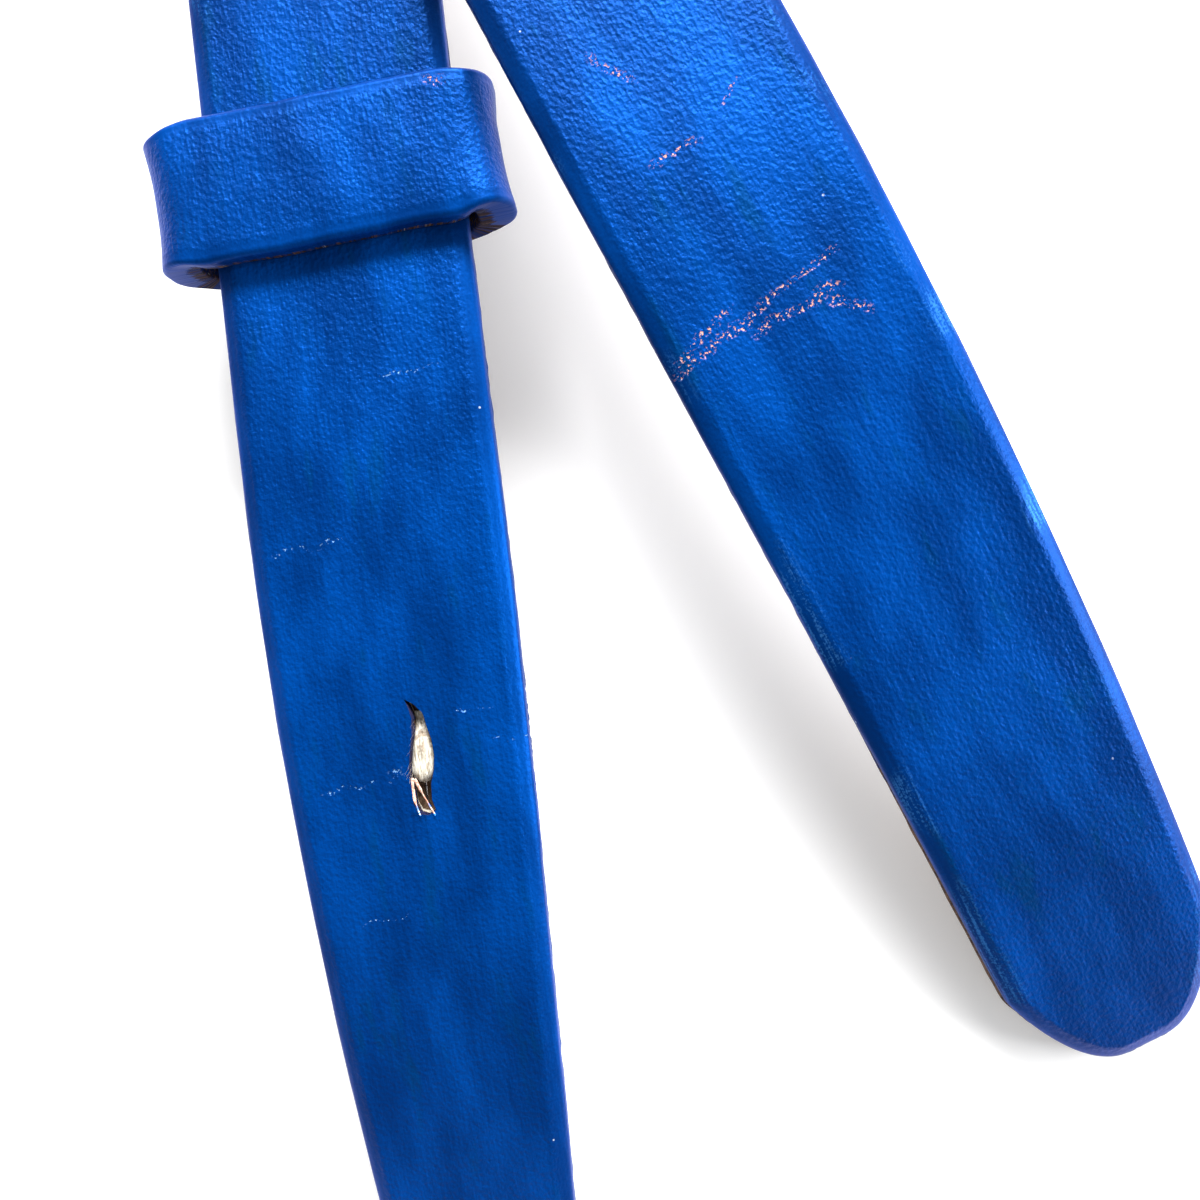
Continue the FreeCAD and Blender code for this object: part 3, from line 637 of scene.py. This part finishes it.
def grow_fibres(tree, name, material, **values):
    """Plain mesh of the fibres that the tree makes with these input values."""
    mesh = bpy.data.meshes.new(name)
    piece = bpy.data.objects.new(name, mesh)
    bpy.context.scene.collection.objects.link(piece)
    modifier = piece.modifiers.new("fibres", "NODES")
    modifier.node_group = tree
    for item in tree.interface.items_tree:
        if item.in_out == "INPUT":
            key = item.name.replace(" ", "_").lower()
            modifier[item.identifier] = material if key == "material" else values[key]
    grown = bpy.data.meshes.new_from_object(
        piece.evaluated_get(bpy.context.evaluated_depsgraph_get()))
    piece.modifiers.remove(modifier)
    piece.data = grown
    grown.polygons.foreach_set("use_smooth", [True] * len(grown.polygons))
    return piece


def bend_onto(piece, shape):
    """Move each vertex to shape(x, y, z), a point in the row frame."""
    for vertex in piece.data.vertices:
        vertex.co = shape(*vertex.co)
    piece.data.update()


def make_tuft_fibres(line, tree, material):
    """Loose fibres over the tuft, most of them lying along the slot."""
    span = TUFT_TO - TUFT_FROM
    middle = (TUFT_TO + TUFT_FROM) / 2
    piece = grow_fibres(tree, "tuft_fibres", material, count=150, patch_width=1.7, patch_length=0.84,
                        patch_depth=0.2 * MM, fibre_length=0.12, fibre_radius=0.06 * MM,
                        bend=0.1 * MM, stray=0.16, seed=11)

    def over_tuft(x, y, z):
        beyond_fold = middle + y * span
        across, out = tuft_shape(line, max(beyond_fold, TUFT_FROM + 0.1 * MM), min(max(x, -1), 1))
        return on_strap(line, FOLD + beyond_fold, across, out + z)

    bend_onto(piece, over_tuft)
    return piece


def make_shred(line, name, route, width, thickness, turns, material):
    """Torn ribbon of leather along a route of (beyond the fold, across, out) in millimetres."""
    curve = bpy.data.curves.new(name, "CURVE")
    curve.dimensions = "3D"
    spline = curve.splines.new("NURBS")
    spline.points.add(len(route) - 1)
    for point, (beyond_fold, across, out) in zip(spline.points, route):
        point.co = (*on_strap(line, FOLD + beyond_fold * MM, across * MM, out * MM), 1.0)
    spline.order_u = 3
    spline.use_endpoint_u = True
    spline.resolution_u = 8
    guide = bpy.data.objects.new(name + "_route", curve)
    bpy.context.scene.collection.objects.link(guide)
    way = [v.co.copy() for v in bpy.data.meshes.new_from_object(
        guide.evaluated_get(bpy.context.evaluated_depsgraph_get())).vertices]
    bpy.data.objects.remove(guide)
    bm = leather_mesh()
    rings = []
    up = Vector((0.0, 0.0, 1.0))
    for i, spot in enumerate(way):
        ahead = (way[min(i + 1, len(way) - 1)] - way[max(i - 1, 0)]).normalized()
        share = i / (len(way) - 1)
        level = ahead.cross(up).normalized()
        normal = level.cross(ahead)
        angle = turns * 2 * math.pi * share + 0.4 * math.sin(share * 11)
        flat = level * math.cos(angle) + normal * math.sin(angle)
        thin = normal * math.cos(angle) - level * math.sin(angle)
        fullness = 0.45 + 0.55 * math.sin(math.pi * min(share * 1.15 + 0.12, 1.0))
        half = width / 2 * fullness * (1 + 0.25 * noise.noise(Vector((share * 9, 0.3, 0.0))))
        ring = []
        for step in range(8):
            around = step * math.pi / 4
            ring.append(bm.verts.new(spot + flat * half * math.cos(around)
                                     + thin * thickness / 2 * math.sin(around)))
        rings.append(ring)
    for a, b in zip(rings, rings[1:]):
        for step in range(8):
            bm.faces.new((a[step], a[(step + 1) % 8], b[(step + 1) % 8], b[step]))
    bm.faces.new(rings[0])
    bm.faces.new(rings[-1])
    for i, ring in enumerate(rings):
        share = i / (len(rings) - 1)
        write_place(bm, ring, [0.0] * 8, [share * 5 * MM] * 8, [share] * 8, [0.0] * 8)
    return finish_mesh(name, bm, material, math.radians(60))


def keeper_frame(line):
    """Matrix of the keeper: X across, Y along the strap, Z out of it, at the ring's middle."""
    points, across_axis, grain_axis = line.frames(np.array([JOIN]))
    across = Vector(across_axis[0])
    grain = Vector(grain_axis[0])
    travel = grain.cross(across)
    axes = Matrix((across, travel, grain)).transposed().to_4x4()
    drop = TOP + KEEPER_CLEAR - KEEPER_OPENING[1] / 2
    middle = Vector(points[0]) + grain * drop + across * KEEPER_OFFSET
    return (Matrix.Translation(middle) @ axes
            @ Matrix.Rotation(KEEPER_SKEW, 4, "Z"))


def rounded_loop(width, height, radius):
    """Rounded rectangle from one side of the keeper's seam round to the other.

    Each entry is a point and the direction out of the loop.
    """
    spots = [(Vector((KEEPER_SEAM / 2, -height / 2)), Vector((0, -1)))]
    for right, upper, start in ((1, -1, -90), (1, 1, 0), (-1, 1, 90), (-1, -1, 180)):
        centre = Vector((right * (width / 2 - radius), upper * (height / 2 - radius)))
        for step in range(13):
            angle = math.radians(start + 90 * step / 12)
            outward = Vector((math.cos(angle), math.sin(angle)))
            spots.append((centre + outward * radius, outward))
    spots.append((Vector((-KEEPER_SEAM / 2, -height / 2)), Vector((0, -1))))
    return spots


def keeper_ring():
    """Stations round the keeper: a point on its outside, its outward direction, one inside."""
    outer = rounded_loop(KEEPER_OPENING[0] + 2 * KEEPER_SIDE, KEEPER_OPENING[1] + 2 * KEEPER_WALL,
                         KEEPER_CORNER)
    inner = rounded_loop(*KEEPER_OPENING, KEEPER_INNER_CORNER)
    corners = [(a, direction, b) for (a, direction), (b, _direction) in zip(outer, inner)]
    ring = []
    for (out_a, way_a, in_a), (out_b, way_b, in_b) in zip(corners, corners[1:]):
        count = max(round((out_b - out_a).length / (0.8 * MM)), 1)
        for step in range(count):
            share = step / count
            ring.append((out_a.lerp(out_b, share), way_a.lerp(way_b, share).normalized(),
                         in_a.lerp(in_b, share)))
    return ring + [corners[-1]]


def keeper_profile():
    """Section of the keeper's leather: along the strap, depth, and the face it is measured from."""
    half_length = KEEPER_LENGTH / 2
    outer_round = 1.0 * MM
    inner_round = 0.4 * MM
    rim = []
    for step in range(1, 9):
        angle = math.pi / 2 * (1 - step / 8)
        rim.append((half_length - outer_round * (1 - math.cos(angle)),
                    outer_round * (1 - math.sin(angle)), "outer"))
    for step in range(4):
        angle = math.pi / 2 * step / 3
        rim.append((half_length - inner_round * (1 - math.cos(angle)),
                    inner_round * (1 - math.sin(angle)), "inner"))
    face = [(along * (half_length - outer_round), 0.0, "outer") for along in np.linspace(-1, 1, 33)]
    return face + rim + [(-along, depth, face_name) for along, depth, face_name in reversed(rim)]


def keeper_wear(across, height, along, depth, face_name):
    """How bare the keeper's leather is: inside, underneath and at the cut lower corners."""
    if face_name == "inner" or height < -0.7 * KEEPER_OPENING[1]:
        return 1.0
    on_rim = abs(along) > KEEPER_LENGTH / 2 - 0.5 * MM and depth > 1.0 * MM
    corner = float(smooth_step((abs(across) - 18.5 * MM) / (2.0 * MM)))
    low = float(smooth_step((2.5 * MM - height) / (2.5 * MM)))
    return corner * (0.35 + 0.65 * low) if on_rim and along < 0 else 0.0


def make_keeper(line, material):
    """Keeper loop: thick leather band, pillowed, flared at the sides, its cut ends below."""
    bm = leather_mesh()
    matrix = keeper_frame(line)
    profile = keeper_profile()
    half_length = KEEPER_LENGTH / 2
    rings = []
    around = 0.0
    previous = None
    for spot, outward, inside in keeper_ring():
        around += (spot - previous).length if previous else 0.0
        previous = spot
        side = float(smooth_step((abs(spot.x) - 18 * MM) / (7 * MM)))
        upper = float(smooth_step((spot.y + 2 * MM) / (4 * MM)))
        inward = (inside - spot).normalized()
        row, wears, edges = [], [], []
        for along, depth, face_name in profile:
            share = along / half_length
            wear = keeper_wear(spot.x, spot.y, along, depth, face_name)
            relief = 0.20 * MM * noise.noise(Vector((around / (9 * MM), along / (7 * MM), 3.0)))
            relief += 0.06 * MM * noise.noise(Vector((around / (2.2 * MM), along / (5 * MM), 8.0)))
            relief += 0.20 * MM * wear * noise.noise(Vector((around, along, depth)) / (0.7 * MM))
            lift = 0.25 * MM * (1 - share ** 2) * upper + KEEPER_FLARE * side * (share ** 2 - 0.35)
            if face_name == "outer":
                place = spot + inward * depth + outward * (relief + lift)
            else:
                place = inside - inward * depth
            edge_waver = 0.4 * MM * noise.noise(Vector((around / (9 * MM), float(np.sign(along)), 0.0)))
            length = along * (1 - 0.09 * side) + edge_waver * share ** 2
            row.append(bm.verts.new(matrix @ Vector((place.x, length, place.y))))
            wears.append(wear)
            edges.append(half_length - abs(along) if face_name == "outer" else 0.0)
        write_place(bm, row, [around] * len(row), [entry[0] for entry in profile], wears, edges)
        rings.append(row)
    count = len(profile)
    for a, b in zip(rings, rings[1:]):
        for k in range(count):
            bm.faces.new((a[k], a[(k + 1) % count], b[(k + 1) % count], b[k]))
    bm.faces.new(rings[0])
    bm.faces.new(rings[-1])
    return finish_mesh("keeper_loop", bm, material, math.radians(50))


class Value:
    """A number or vector that varies over a surface; sums and products of it add Math nodes."""

    def __init__(self, finish, socket):
        self.finish = finish
        self.socket = socket

    def __add__(self, other):
        return self.finish.math("ADD", self, other)

    def __radd__(self, other):
        return self.finish.math("ADD", other, self)

    def __sub__(self, other):
        return self.finish.math("SUBTRACT", self, other)

    def __rsub__(self, other):
        return self.finish.math("SUBTRACT", other, self)

    def __mul__(self, other):
        return self.finish.math("MULTIPLY", self, other)

    def __rmul__(self, other):
        return self.finish.math("MULTIPLY", other, self)

    def __abs__(self):
        return self.finish.math("ABSOLUTE", self)


class Finish:
    """One material, made of nodes."""

    def __init__(self, name):
        self.material = bpy.data.materials.new(name)
        self.material.use_nodes = True
        self.tree = self.material.node_tree
        self.tree.nodes.clear()

    def node(self, kind, settings, sockets):
        """Add a node: its settings first, then the values or links of its sockets."""
        node = self.tree.nodes.new(kind)
        for name, value in settings.items():
            setattr(node, name, value)
        for key, value in sockets.items():
            if isinstance(value, Value):
                self.tree.links.new(value.socket, node.inputs[key])
            else:
                node.inputs[key].default_value = value
        return node

    def math(self, operation, a, b=0.0):
        """One Math node."""
        node = self.node("ShaderNodeMath", {"operation": operation}, {0: a, 1: b})
        return Value(self, node.outputs[0])

    def attribute(self, name, output):
        """A value stored on the piece's vertices."""
        node = self.node("ShaderNodeAttribute", {"attribute_name": name}, {})
        return Value(self, node.outputs[output])

    def position(self):
        """Where a point of the piece is, in the row frame."""
        return Value(self, self.node("ShaderNodeTexCoord", {}, {}).outputs["Object"])

    def parts(self, vector):
        """The three numbers of a vector."""
        node = self.node("ShaderNodeSeparateXYZ", {}, {0: vector})
        return [Value(self, output) for output in node.outputs]

    def stretched(self, vector, factors, offset=(0.0, 0.0, 0.0)):
        """A vector scaled along each axis and moved, to draw a pattern out or shift it."""
        node = self.node("ShaderNodeVectorMath", {"operation": "MULTIPLY_ADD"},
                         {0: vector, 1: factors, 2: offset})
        return Value(self, node.outputs[0])

    def noise(self, vector, scale, detail=2.0, roughness=0.5):
        """Cloudy noise, about 0.5 in the middle."""
        node = self.node("ShaderNodeTexNoise", {},
                         {"Vector": vector, "Scale": scale, "Detail": detail, "Roughness": roughness})
        return Value(self, node.outputs["Fac"])

    def cells(self, vector, scale, smoothness=0.6):
        """Distance to the nearest of scattered points: leather pebbles."""
        node = self.node("ShaderNodeTexVoronoi", {"feature": "SMOOTH_F1"},
                         {"Vector": vector, "Scale": scale, "Smoothness": smoothness})
        return Value(self, node.outputs["Distance"])

    def dots(self, vector, scale, size):
        """Scattered round dots, 1 inside and 0 outside, a share of a cell wide."""
        node = self.node("ShaderNodeTexVoronoi", {"feature": "F1"}, {"Vector": vector, "Scale": scale})
        return self.rise(Value(self, node.outputs["Distance"]), size, size * 0.6)

    def rise(self, value, low, high):
        """Eased rise from 0 at low to 1 at high; it falls where high is under low."""
        start, end = (0.0, 1.0) if high > low else (1.0, 0.0)
        node = self.node("ShaderNodeMapRange", {"interpolation_type": "SMOOTHSTEP"},
                         {"Value": value, "From Min": min(low, high), "From Max": max(low, high),
                          "To Min": start, "To Max": end})
        return Value(self, node.outputs[0])

    def blend(self, mask, first, second):
        """Colour that goes from first to second as mask goes from 0 to 1."""
        node = self.node("ShaderNodeMix", {"data_type": "RGBA"},
                         {0: mask, 6: first, 7: second})
        return Value(self, node.outputs[2])

    def bump(self, height, depth, strength=1.0):
        """Normal of a surface with this relief, depth in metres."""
        sockets = {"Strength": strength, "Distance": depth, "Height": height}
        node = self.node("ShaderNodeBump", {}, sockets)
        return Value(self, node.outputs[0])

    def surface(self, sockets):
        """Finish the material with one Principled shader."""
        shader = self.node("ShaderNodeBsdfPrincipled", {}, sockets)
        output = self.node("ShaderNodeOutputMaterial", {}, {})
        self.tree.links.new(shader.outputs[0], output.inputs[0])
        return self.material


def rgb(red, green, blue):
    """A linear colour."""
    return (red, green, blue, 1.0)


PAINT_DEEP = rgb(0.0, 0.020, 0.120)
PAINT_BRIGHT = rgb(0.0, 0.041, 0.228)
PAINT_STAIN = rgb(0.0, 0.031, 0.090)
PAINT_WORN = rgb(0.05, 0.24, 0.62)
PALE_CRACK = rgb(0.16, 0.34, 0.60)
SALMON = rgb(0.56, 0.27, 0.20)
CHALK = rgb(0.55, 0.62, 0.72)
RAW_BROWN = rgb(0.105, 0.055, 0.032)
RAW_DARK = rgb(0.022, 0.012, 0.009)
SHEEN_TINT = rgb(0.02, 0.36, 1.0)

# Cracks across the strap: measured along from the tip or beyond the fold, across, how much
# the crack slants, and how far its flecks scatter, in millimetres
TIP_CRACKS = [(123.9, -9.0, 18.5, -0.20, 0.9), (127.2, 7.5, 17.5, -0.30, 0.7),
              (120.6, -7.5, 6.0, 0.0, 0.9), (122.0, -9.5, -5.0, 0.6, 1.1),
              (154.5, 4.5, 8.0, 1.2, 1.2), (147.0, 0.5, 7.5, 0.0, 0.8),
              (148.0, -8.0, -5.0, -0.5, 0.6)]
FLAP_CRACKS = [(55.2, 4.0, 12.0, 0.12, 0.20), (33.2, -16.5, -5.0, 0.05, 0.24),
               (-22.6, -9.5, -3.5, 0.1, 0.16), (-2.0, -12.5, -3.0, 0.12, 0.26),
               (-1.5, -2.2, -0.9, 0.0, 0.75), (5.2, 8.0, 13.5, 0.1, 0.18), (1.5, 14.0, 18.5, 0.0, 0.14)]


def crack_band(finish, across, along, waver, crack):
    """Mask of one crack: a slanting wavering line with soft ends."""
    along_at, across_from, across_to, slant, scatter = crack
    line = abs(along - across * slant - along_at + waver)
    near = finish.rise(line, scatter, scatter * 0.25)
    inside = finish.rise(across, across_from - 1.0, across_from + 1.0)
    inside = inside * finish.rise(across, across_to + 1.0, across_to - 1.0)
    return near * inside


def crack_flecks(finish, place, across, along, cracks):
    """Flecks of bare leather where the paint has cracked, gathered along the cracks."""
    waver = (finish.noise(place, 0.25, 2.0) - 0.5) * 4.0
    band = None
    for crack in cracks:
        one = crack_band(finish, across, along, waver, crack)
        band = one if band is None else finish.math("MAXIMUM", band, one)
    broken = finish.noise(place, 1.9, 3.0, 0.65)
    return band * finish.rise(broken, 0.55, 0.61)


def painted_leather(name, start, direction, cracks, crack_colour, stain_strength, rubbing):
    """Blue paint over grained leather, worn through to salmon, with raw brown cut edges.

    The cracks are measured from start, along the strap (direction 1) or back along it (-1).
    """
    finish = Finish(name)
    place = finish.attribute("strap_place", "Vector")
    raw = finish.attribute("raw_leather", "Fac")
    across, along_on_strap, edge = finish.parts(place)
    along = (along_on_strap - start) * direction
    flat = finish.stretched(place, (1.0, 1.0, 0.0))

    pebbles = finish.cells(finish.stretched(flat, (1.0, 0.8, 0.0)), 1.6)
    fine = finish.noise(flat, 2.6, 3.0, 0.6)
    lines = finish.noise(finish.stretched(flat, (1.9, 0.07, 0.0)), 1.0, 3.0, 0.6)
    clouds = finish.noise(finish.stretched(flat, (0.10, 0.035, 0.0)), 1.0, 3.0, 0.55)
    blotches = finish.noise(finish.stretched(flat, (0.22, 0.05, 0.0), (7.0, 3.0, 0.0)), 1.0, 3.0, 0.6)

    flecks = crack_flecks(finish, flat, across, along, cracks)
    specks = finish.dots(finish.stretched(flat, (1.0, 1.0, 0.0), (3.1, 8.7, 0.0)), 0.16, 0.035)
    specks = specks * finish.rise(finish.noise(flat, 0.09, 2.0), 0.50, 0.56)
    on_grain = finish.rise(edge, 1.2, 2.6)
    rubbed = finish.rise(edge, 3.8, 1.6) * finish.rise(fine * 0.45 + lines * 0.55, 0.48, 0.60)
    rubbed = rubbed * finish.rise(finish.noise(flat, 0.045, 2.0), 0.54, 0.64)

    tone = clouds * 0.65 + lines * 0.15 + fine * 0.20
    paint = finish.blend(finish.rise(tone, 0.38, 0.64), PAINT_DEEP, PAINT_BRIGHT)
    stain = finish.rise(blotches, 0.56, 0.70) * stain_strength * on_grain
    paint = finish.blend(stain, paint, PAINT_STAIN)
    paint = finish.blend(rubbed * rubbing, paint, PAINT_WORN)
    paint = finish.blend(specks * 0.7, paint, CHALK)
    bare = finish.blend(finish.rise(fine, 0.60, 0.70), crack_colour, CHALK)
    paint = finish.blend(flecks, paint, bare)

    mottle = finish.noise(finish.stretched(flat, (1.0, 1.0, 0.0), (2.0, 5.0, 0.0)), 1.7, 3.0, 0.65)
    brown = finish.blend(finish.rise(mottle, 0.44, 0.64), RAW_DARK, RAW_BROWN)
    brown = finish.blend(finish.rise(fine, 0.62, 0.70) * 0.5, brown, CHALK)
    brown = finish.blend(finish.rise(pebbles, 0.42, 0.55) * 0.7, brown, PAINT_DEEP)
    bare_edge = finish.rise(raw + (mottle - 0.5) * 0.9, 0.55, 0.72)
    colour = finish.blend(bare_edge, paint, brown)

    relief = pebbles * 0.70 + fine * 0.60 + lines * 0.40
    relief = relief * (on_grain * 0.72 + 0.28) - flecks * 0.9 + bare_edge * mottle * 1.2
    gloss = 0.24 + fine * 0.16 + clouds * 0.12 + flecks * 0.3 + bare_edge * 0.4
    return finish.surface({
        "Base Color": colour, "Roughness": gloss, "Normal": finish.bump(relief, 0.00020, 0.8),
        "Metallic": 0.35, "Specular IOR Level": 0.35, "Specular Tint": SHEEN_TINT, "IOR": 1.4})


def backing_leather(line_length):
    """Unpainted brown leather, fibrous, with a mottled cut edge and specks of blue paint."""
    finish = Finish("backing_leather")
    place = finish.attribute("strap_place", "Vector")
    raw = finish.attribute("raw_leather", "Fac")
    where = finish.stretched(finish.position(), (1000.0, 1000.0, 1000.0))
    mottle = finish.noise(where, 1.4, 4.0, 0.65)
    fibres = finish.noise(finish.stretched(place, (1.2, 0.35, 0.0)), 1.5, 4.0, 0.65)
    suede = finish.blend(finish.rise(fibres * 0.5 + mottle * 0.5, 0.38, 0.62),
                         rgb(0.060, 0.033, 0.020), rgb(0.17, 0.105, 0.066))
    edge = finish.blend(finish.rise(mottle, 0.40, 0.60), RAW_DARK, rgb(0.16, 0.095, 0.060))
    colour = finish.blend(raw, suede, edge)
    along = finish.parts(place)[1]
    wear_start = (line_length - 0.9 * TIP_WEAR_REACH) / MM
    wear_full = (line_length - 0.4 * TIP_WEAR_REACH) / MM
    worn_tip = finish.rise(along, wear_start, wear_full)
    patches = finish.noise(where, 0.55, 3.0, 0.7)
    painted = raw * finish.rise(patches - worn_tip * 0.35, 0.30, 0.38)
    colour = finish.blend(painted, colour, PAINT_DEEP)
    relief = fibres * 0.6 + mottle * 0.6
    return finish.surface({"Base Color": colour, "Roughness": 0.80 + mottle * 0.15,
                           "Normal": finish.bump(relief, 0.00025, 0.8), "Specular IOR Level": 0.25})


def cream_fibre():
    """Matted cream filler: pale fibres, brown with dirt in their hollows."""
    finish = Finish("cream_fibre")
    where = finish.stretched(finish.position(), (1000.0, 1000.0, 1000.0))
    strands = finish.noise(finish.stretched(where, (2.6, 0.5, 2.6)), 1.0, 4.0, 0.65)
    dirt = finish.noise(where, 0.45, 3.0, 0.6)
    colour = finish.blend(finish.rise(strands, 0.34, 0.60), rgb(0.30, 0.24, 0.165), rgb(0.74, 0.70, 0.60))
    colour = finish.blend(finish.rise(dirt, 0.52, 0.68) * 0.7, colour, rgb(0.20, 0.125, 0.07))
    return finish.surface({"Base Color": colour, "Roughness": 0.85 + strands * 0.1,
                           "Normal": finish.bump(strands, 0.00025, 0.9), "Specular IOR Level": 0.2})


def torn_leather():
    """Torn shreds: salmon leather, pale and flecked with blue paint at the loose ends."""
    finish = Finish("torn_leather")
    end = finish.attribute("raw_leather", "Fac")
    where = finish.stretched(finish.position(), (1000.0, 1000.0, 1000.0))
    grain = finish.noise(where, 2.4, 3.0, 0.6)
    patches = finish.noise(where, 1.1, 2.0, 0.6)
    colour = finish.blend(finish.rise(grain, 0.36, 0.62), rgb(0.36, 0.15, 0.10), rgb(0.66, 0.45, 0.36))
    flaked = finish.rise(end, 0.55, 0.85) * finish.rise(patches, 0.46, 0.54)
    colour = finish.blend(flaked, colour, rgb(0.02, 0.20, 0.62))
    pale = finish.rise(end, 0.72, 0.95) * finish.rise(grain, 0.50, 0.58)
    colour = finish.blend(pale, colour, rgb(0.75, 0.76, 0.78))
    return finish.surface({"Base Color": colour, "Roughness": 0.6 + grain * 0.2,
                           "Normal": finish.bump(grain, 0.0001, 0.8), "Specular IOR Level": 0.3})


def staple_steel():
    """Drawn steel wire, faintly scratched and dulled."""
    finish = Finish("staple_steel")
    where = finish.stretched(finish.position(), (1000.0, 1000.0, 1000.0))
    drawn = finish.noise(finish.stretched(where, (0.5, 6.0, 6.0)), 1.0, 3.0, 0.6)
    tarnish = finish.noise(where, 0.9, 3.0, 0.6)
    colour = finish.blend(finish.rise(tarnish, 0.45, 0.65), rgb(0.60, 0.59, 0.57), rgb(0.30, 0.25, 0.20))
    return finish.surface({"Base Color": colour, "Metallic": 1.0 - finish.rise(tarnish, 0.60, 0.75) * 0.5,
                           "Roughness": 0.28 + drawn * 0.2 + tarnish * 0.15,
                           "Normal": finish.bump(drawn, 0.00002, 0.5)})


def pale_floor():
    """Plain pale table top."""
    finish = Finish("pale_floor")
    where = finish.position()
    mottle = finish.noise(where, 30.0, 2.0, 0.5)
    colour = finish.blend(mottle, rgb(0.92, 0.92, 0.92), rgb(0.95, 0.95, 0.95))
    return finish.surface({"Base Color": colour, "Roughness": 0.9, "Specular IOR Level": 0.1,
                           "Emission Color": rgb(1.0, 1.0, 1.0), "Emission Strength": 0.15})


def make_floor(material):
    """The table top under the belt."""
    bm = bmesh.new()
    bmesh.ops.create_grid(bm, x_segments=8, y_segments=8, size=3.0)
    mesh = bpy.data.meshes.new("table_top")
    bm.to_mesh(mesh)
    bm.free()
    mesh.materials.append(material)
    floor = bpy.data.objects.new("table_top", mesh)
    bpy.context.scene.collection.objects.link(floor)


def add_light(name, spot, target, width, height, power, colour=(1.0, 1.0, 1.0)):
    """Soft rectangular light aimed at a point."""
    data = bpy.data.lights.new(name, "AREA")
    data.shape = "RECTANGLE"
    data.size = width
    data.size_y = height
    data.energy = power
    data.color = colour
    light = bpy.data.objects.new(name, data)
    light.location = spot
    light.rotation_euler = (Vector(target) - Vector(spot)).to_track_quat("-Z", "Y").to_euler()
    bpy.context.scene.collection.objects.link(light)


def light_scene():
    """Even white surroundings, and a broad soft light beyond the far end of the belt."""
    world = bpy.data.worlds.new("studio")
    world.use_nodes = True
    world.node_tree.nodes["Background"].inputs["Color"].default_value = rgb(1.0, 1.0, 1.0)
    world.node_tree.nodes["Background"].inputs["Strength"].default_value = 0.58
    bpy.context.scene.world = world
    bpy.context.scene.view_settings.view_transform = "Standard"
    bpy.context.scene.view_settings.look = "None"
    add_light("window", (0.25, 0.85, 0.70), (0.0, 0.0, 0.02), 0.9, 0.40, 60.0)
    add_light("side", (0.90, -0.20, 0.35), (0.0, -0.08, 0.02), 0.5, 0.3, 12.0)


def place_camera():
    """Camera above the crossing legs, looking almost straight down."""
    data = bpy.data.cameras.new("camera")
    data.lens = 36.66
    data.sensor_width = 36.0
    data.clip_start = 0.01
    data.clip_end = 20.0
    camera = bpy.data.objects.new("camera", data)
    camera.location = (0.01426, -0.15297, 0.19938)
    camera.rotation_euler = Euler([math.radians(a) for a in (2.362, 3.785, -7.207)], "XYZ")
    bpy.context.scene.collection.objects.link(camera)
    bpy.context.scene.camera = camera


def dress_strap(line, finishes):
    """Cover, backing and filler, each as a flexing end and the rest of the strap."""
    flexing = flexing_places()
    lying = lying_places(line)
    ends = {"flexing": flexing, "lying": lying}
    pieces = {}
    for part, places in ends.items():
        end = 0.0 if part == "flexing" else line.length
        cover = make_cover(line, f"{part}_cover", places, end, finishes[f"{part}_cover"])
        backing = make_backing(line, f"{part}_backing", places, finishes["backing"])
        filler = make_filler(line, f"{part}_filler", places, finishes["fibre"])
        pieces[part] = {"cover": cover, "backing": backing, "filler": filler}
    for layer, piece in pieces["flexing"].items():
        bend_with_flap(line, piece)
        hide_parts(f"flap_{layer}")
    for layer, piece in pieces["lying"].items():
        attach(piece, "strap")
        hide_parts(f"strap_{layer}")


def bend_with_flap(line, piece):
    """The piece bends over the fold, where the flap turns back round a buckle's bar."""
    start = on_strap(line, FOLD + FOLD_HALF, 0.0, 0.0)
    end = on_strap(line, FOLD - FOLD_HALF, 0.0, 0.0)
    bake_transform(piece, "strap", "flap", start=tuple(start), end=tuple(end))


def dress_slot(line, finishes):
    """What shows in the torn slot: the bulging filler, its loose fibres and two shreds."""
    core = make_tuft_core(line, finishes["fibre"])
    fibres = make_tuft_fibres(line, make_fibre_tree(), finishes["fibre"])
    for piece in (core, fibres):
        bend_with_flap(line, piece)
    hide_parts("fibre_tuft")
    for number, (route, turns) in enumerate(SHREDS, start=1):
        shred = make_shred(line, f"torn_shred_{number}", route, 0.55 * MM, 0.22 * MM, turns,
                           finishes["torn"])
        bend_with_flap(line, shred)
        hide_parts("torn_shreds")


def dress_keeper(line, finishes):
    """The keeper loop, and the CAD staples in drawn steel."""
    loop = make_keeper(line, finishes["keeper"])
    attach(loop, "keeper")
    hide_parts("keeper_band")
    staples = frame["nodes"]["keeper_staples"]
    staples.data.materials.clear()
    staples.data.materials.append(finishes["steel"])


def main():
    slot_mount = next(m for m in frame["record"]["mounts"] if m["name"] == "buckle_slot")
    line = StrapLine(slot_mount["pos_m"])
    place_camera()
    light_scene()
    finishes = {
        "flexing_cover": painted_leather("painted_leather_flap", FOLD / MM, 1.0, FLAP_CRACKS,
                                          PALE_CRACK, 0.35, 0.0),
        "lying_cover": painted_leather("painted_leather", line.length / MM, -1.0, TIP_CRACKS,
                                       SALMON, 0.4, 0.35),
        "keeper": painted_leather("keeper_leather", 0.0, 1.0, KEEPER_CRACKS, SALMON, 0.2, 0.0),
        "backing": backing_leather(line.length),
        "fibre": cream_fibre(),
        "torn": torn_leather(),
        "steel": staple_steel(),
    }
    dress_strap(line, finishes)
    dress_slot(line, finishes)
    dress_keeper(line, finishes)
    make_floor(pale_floor())


main()
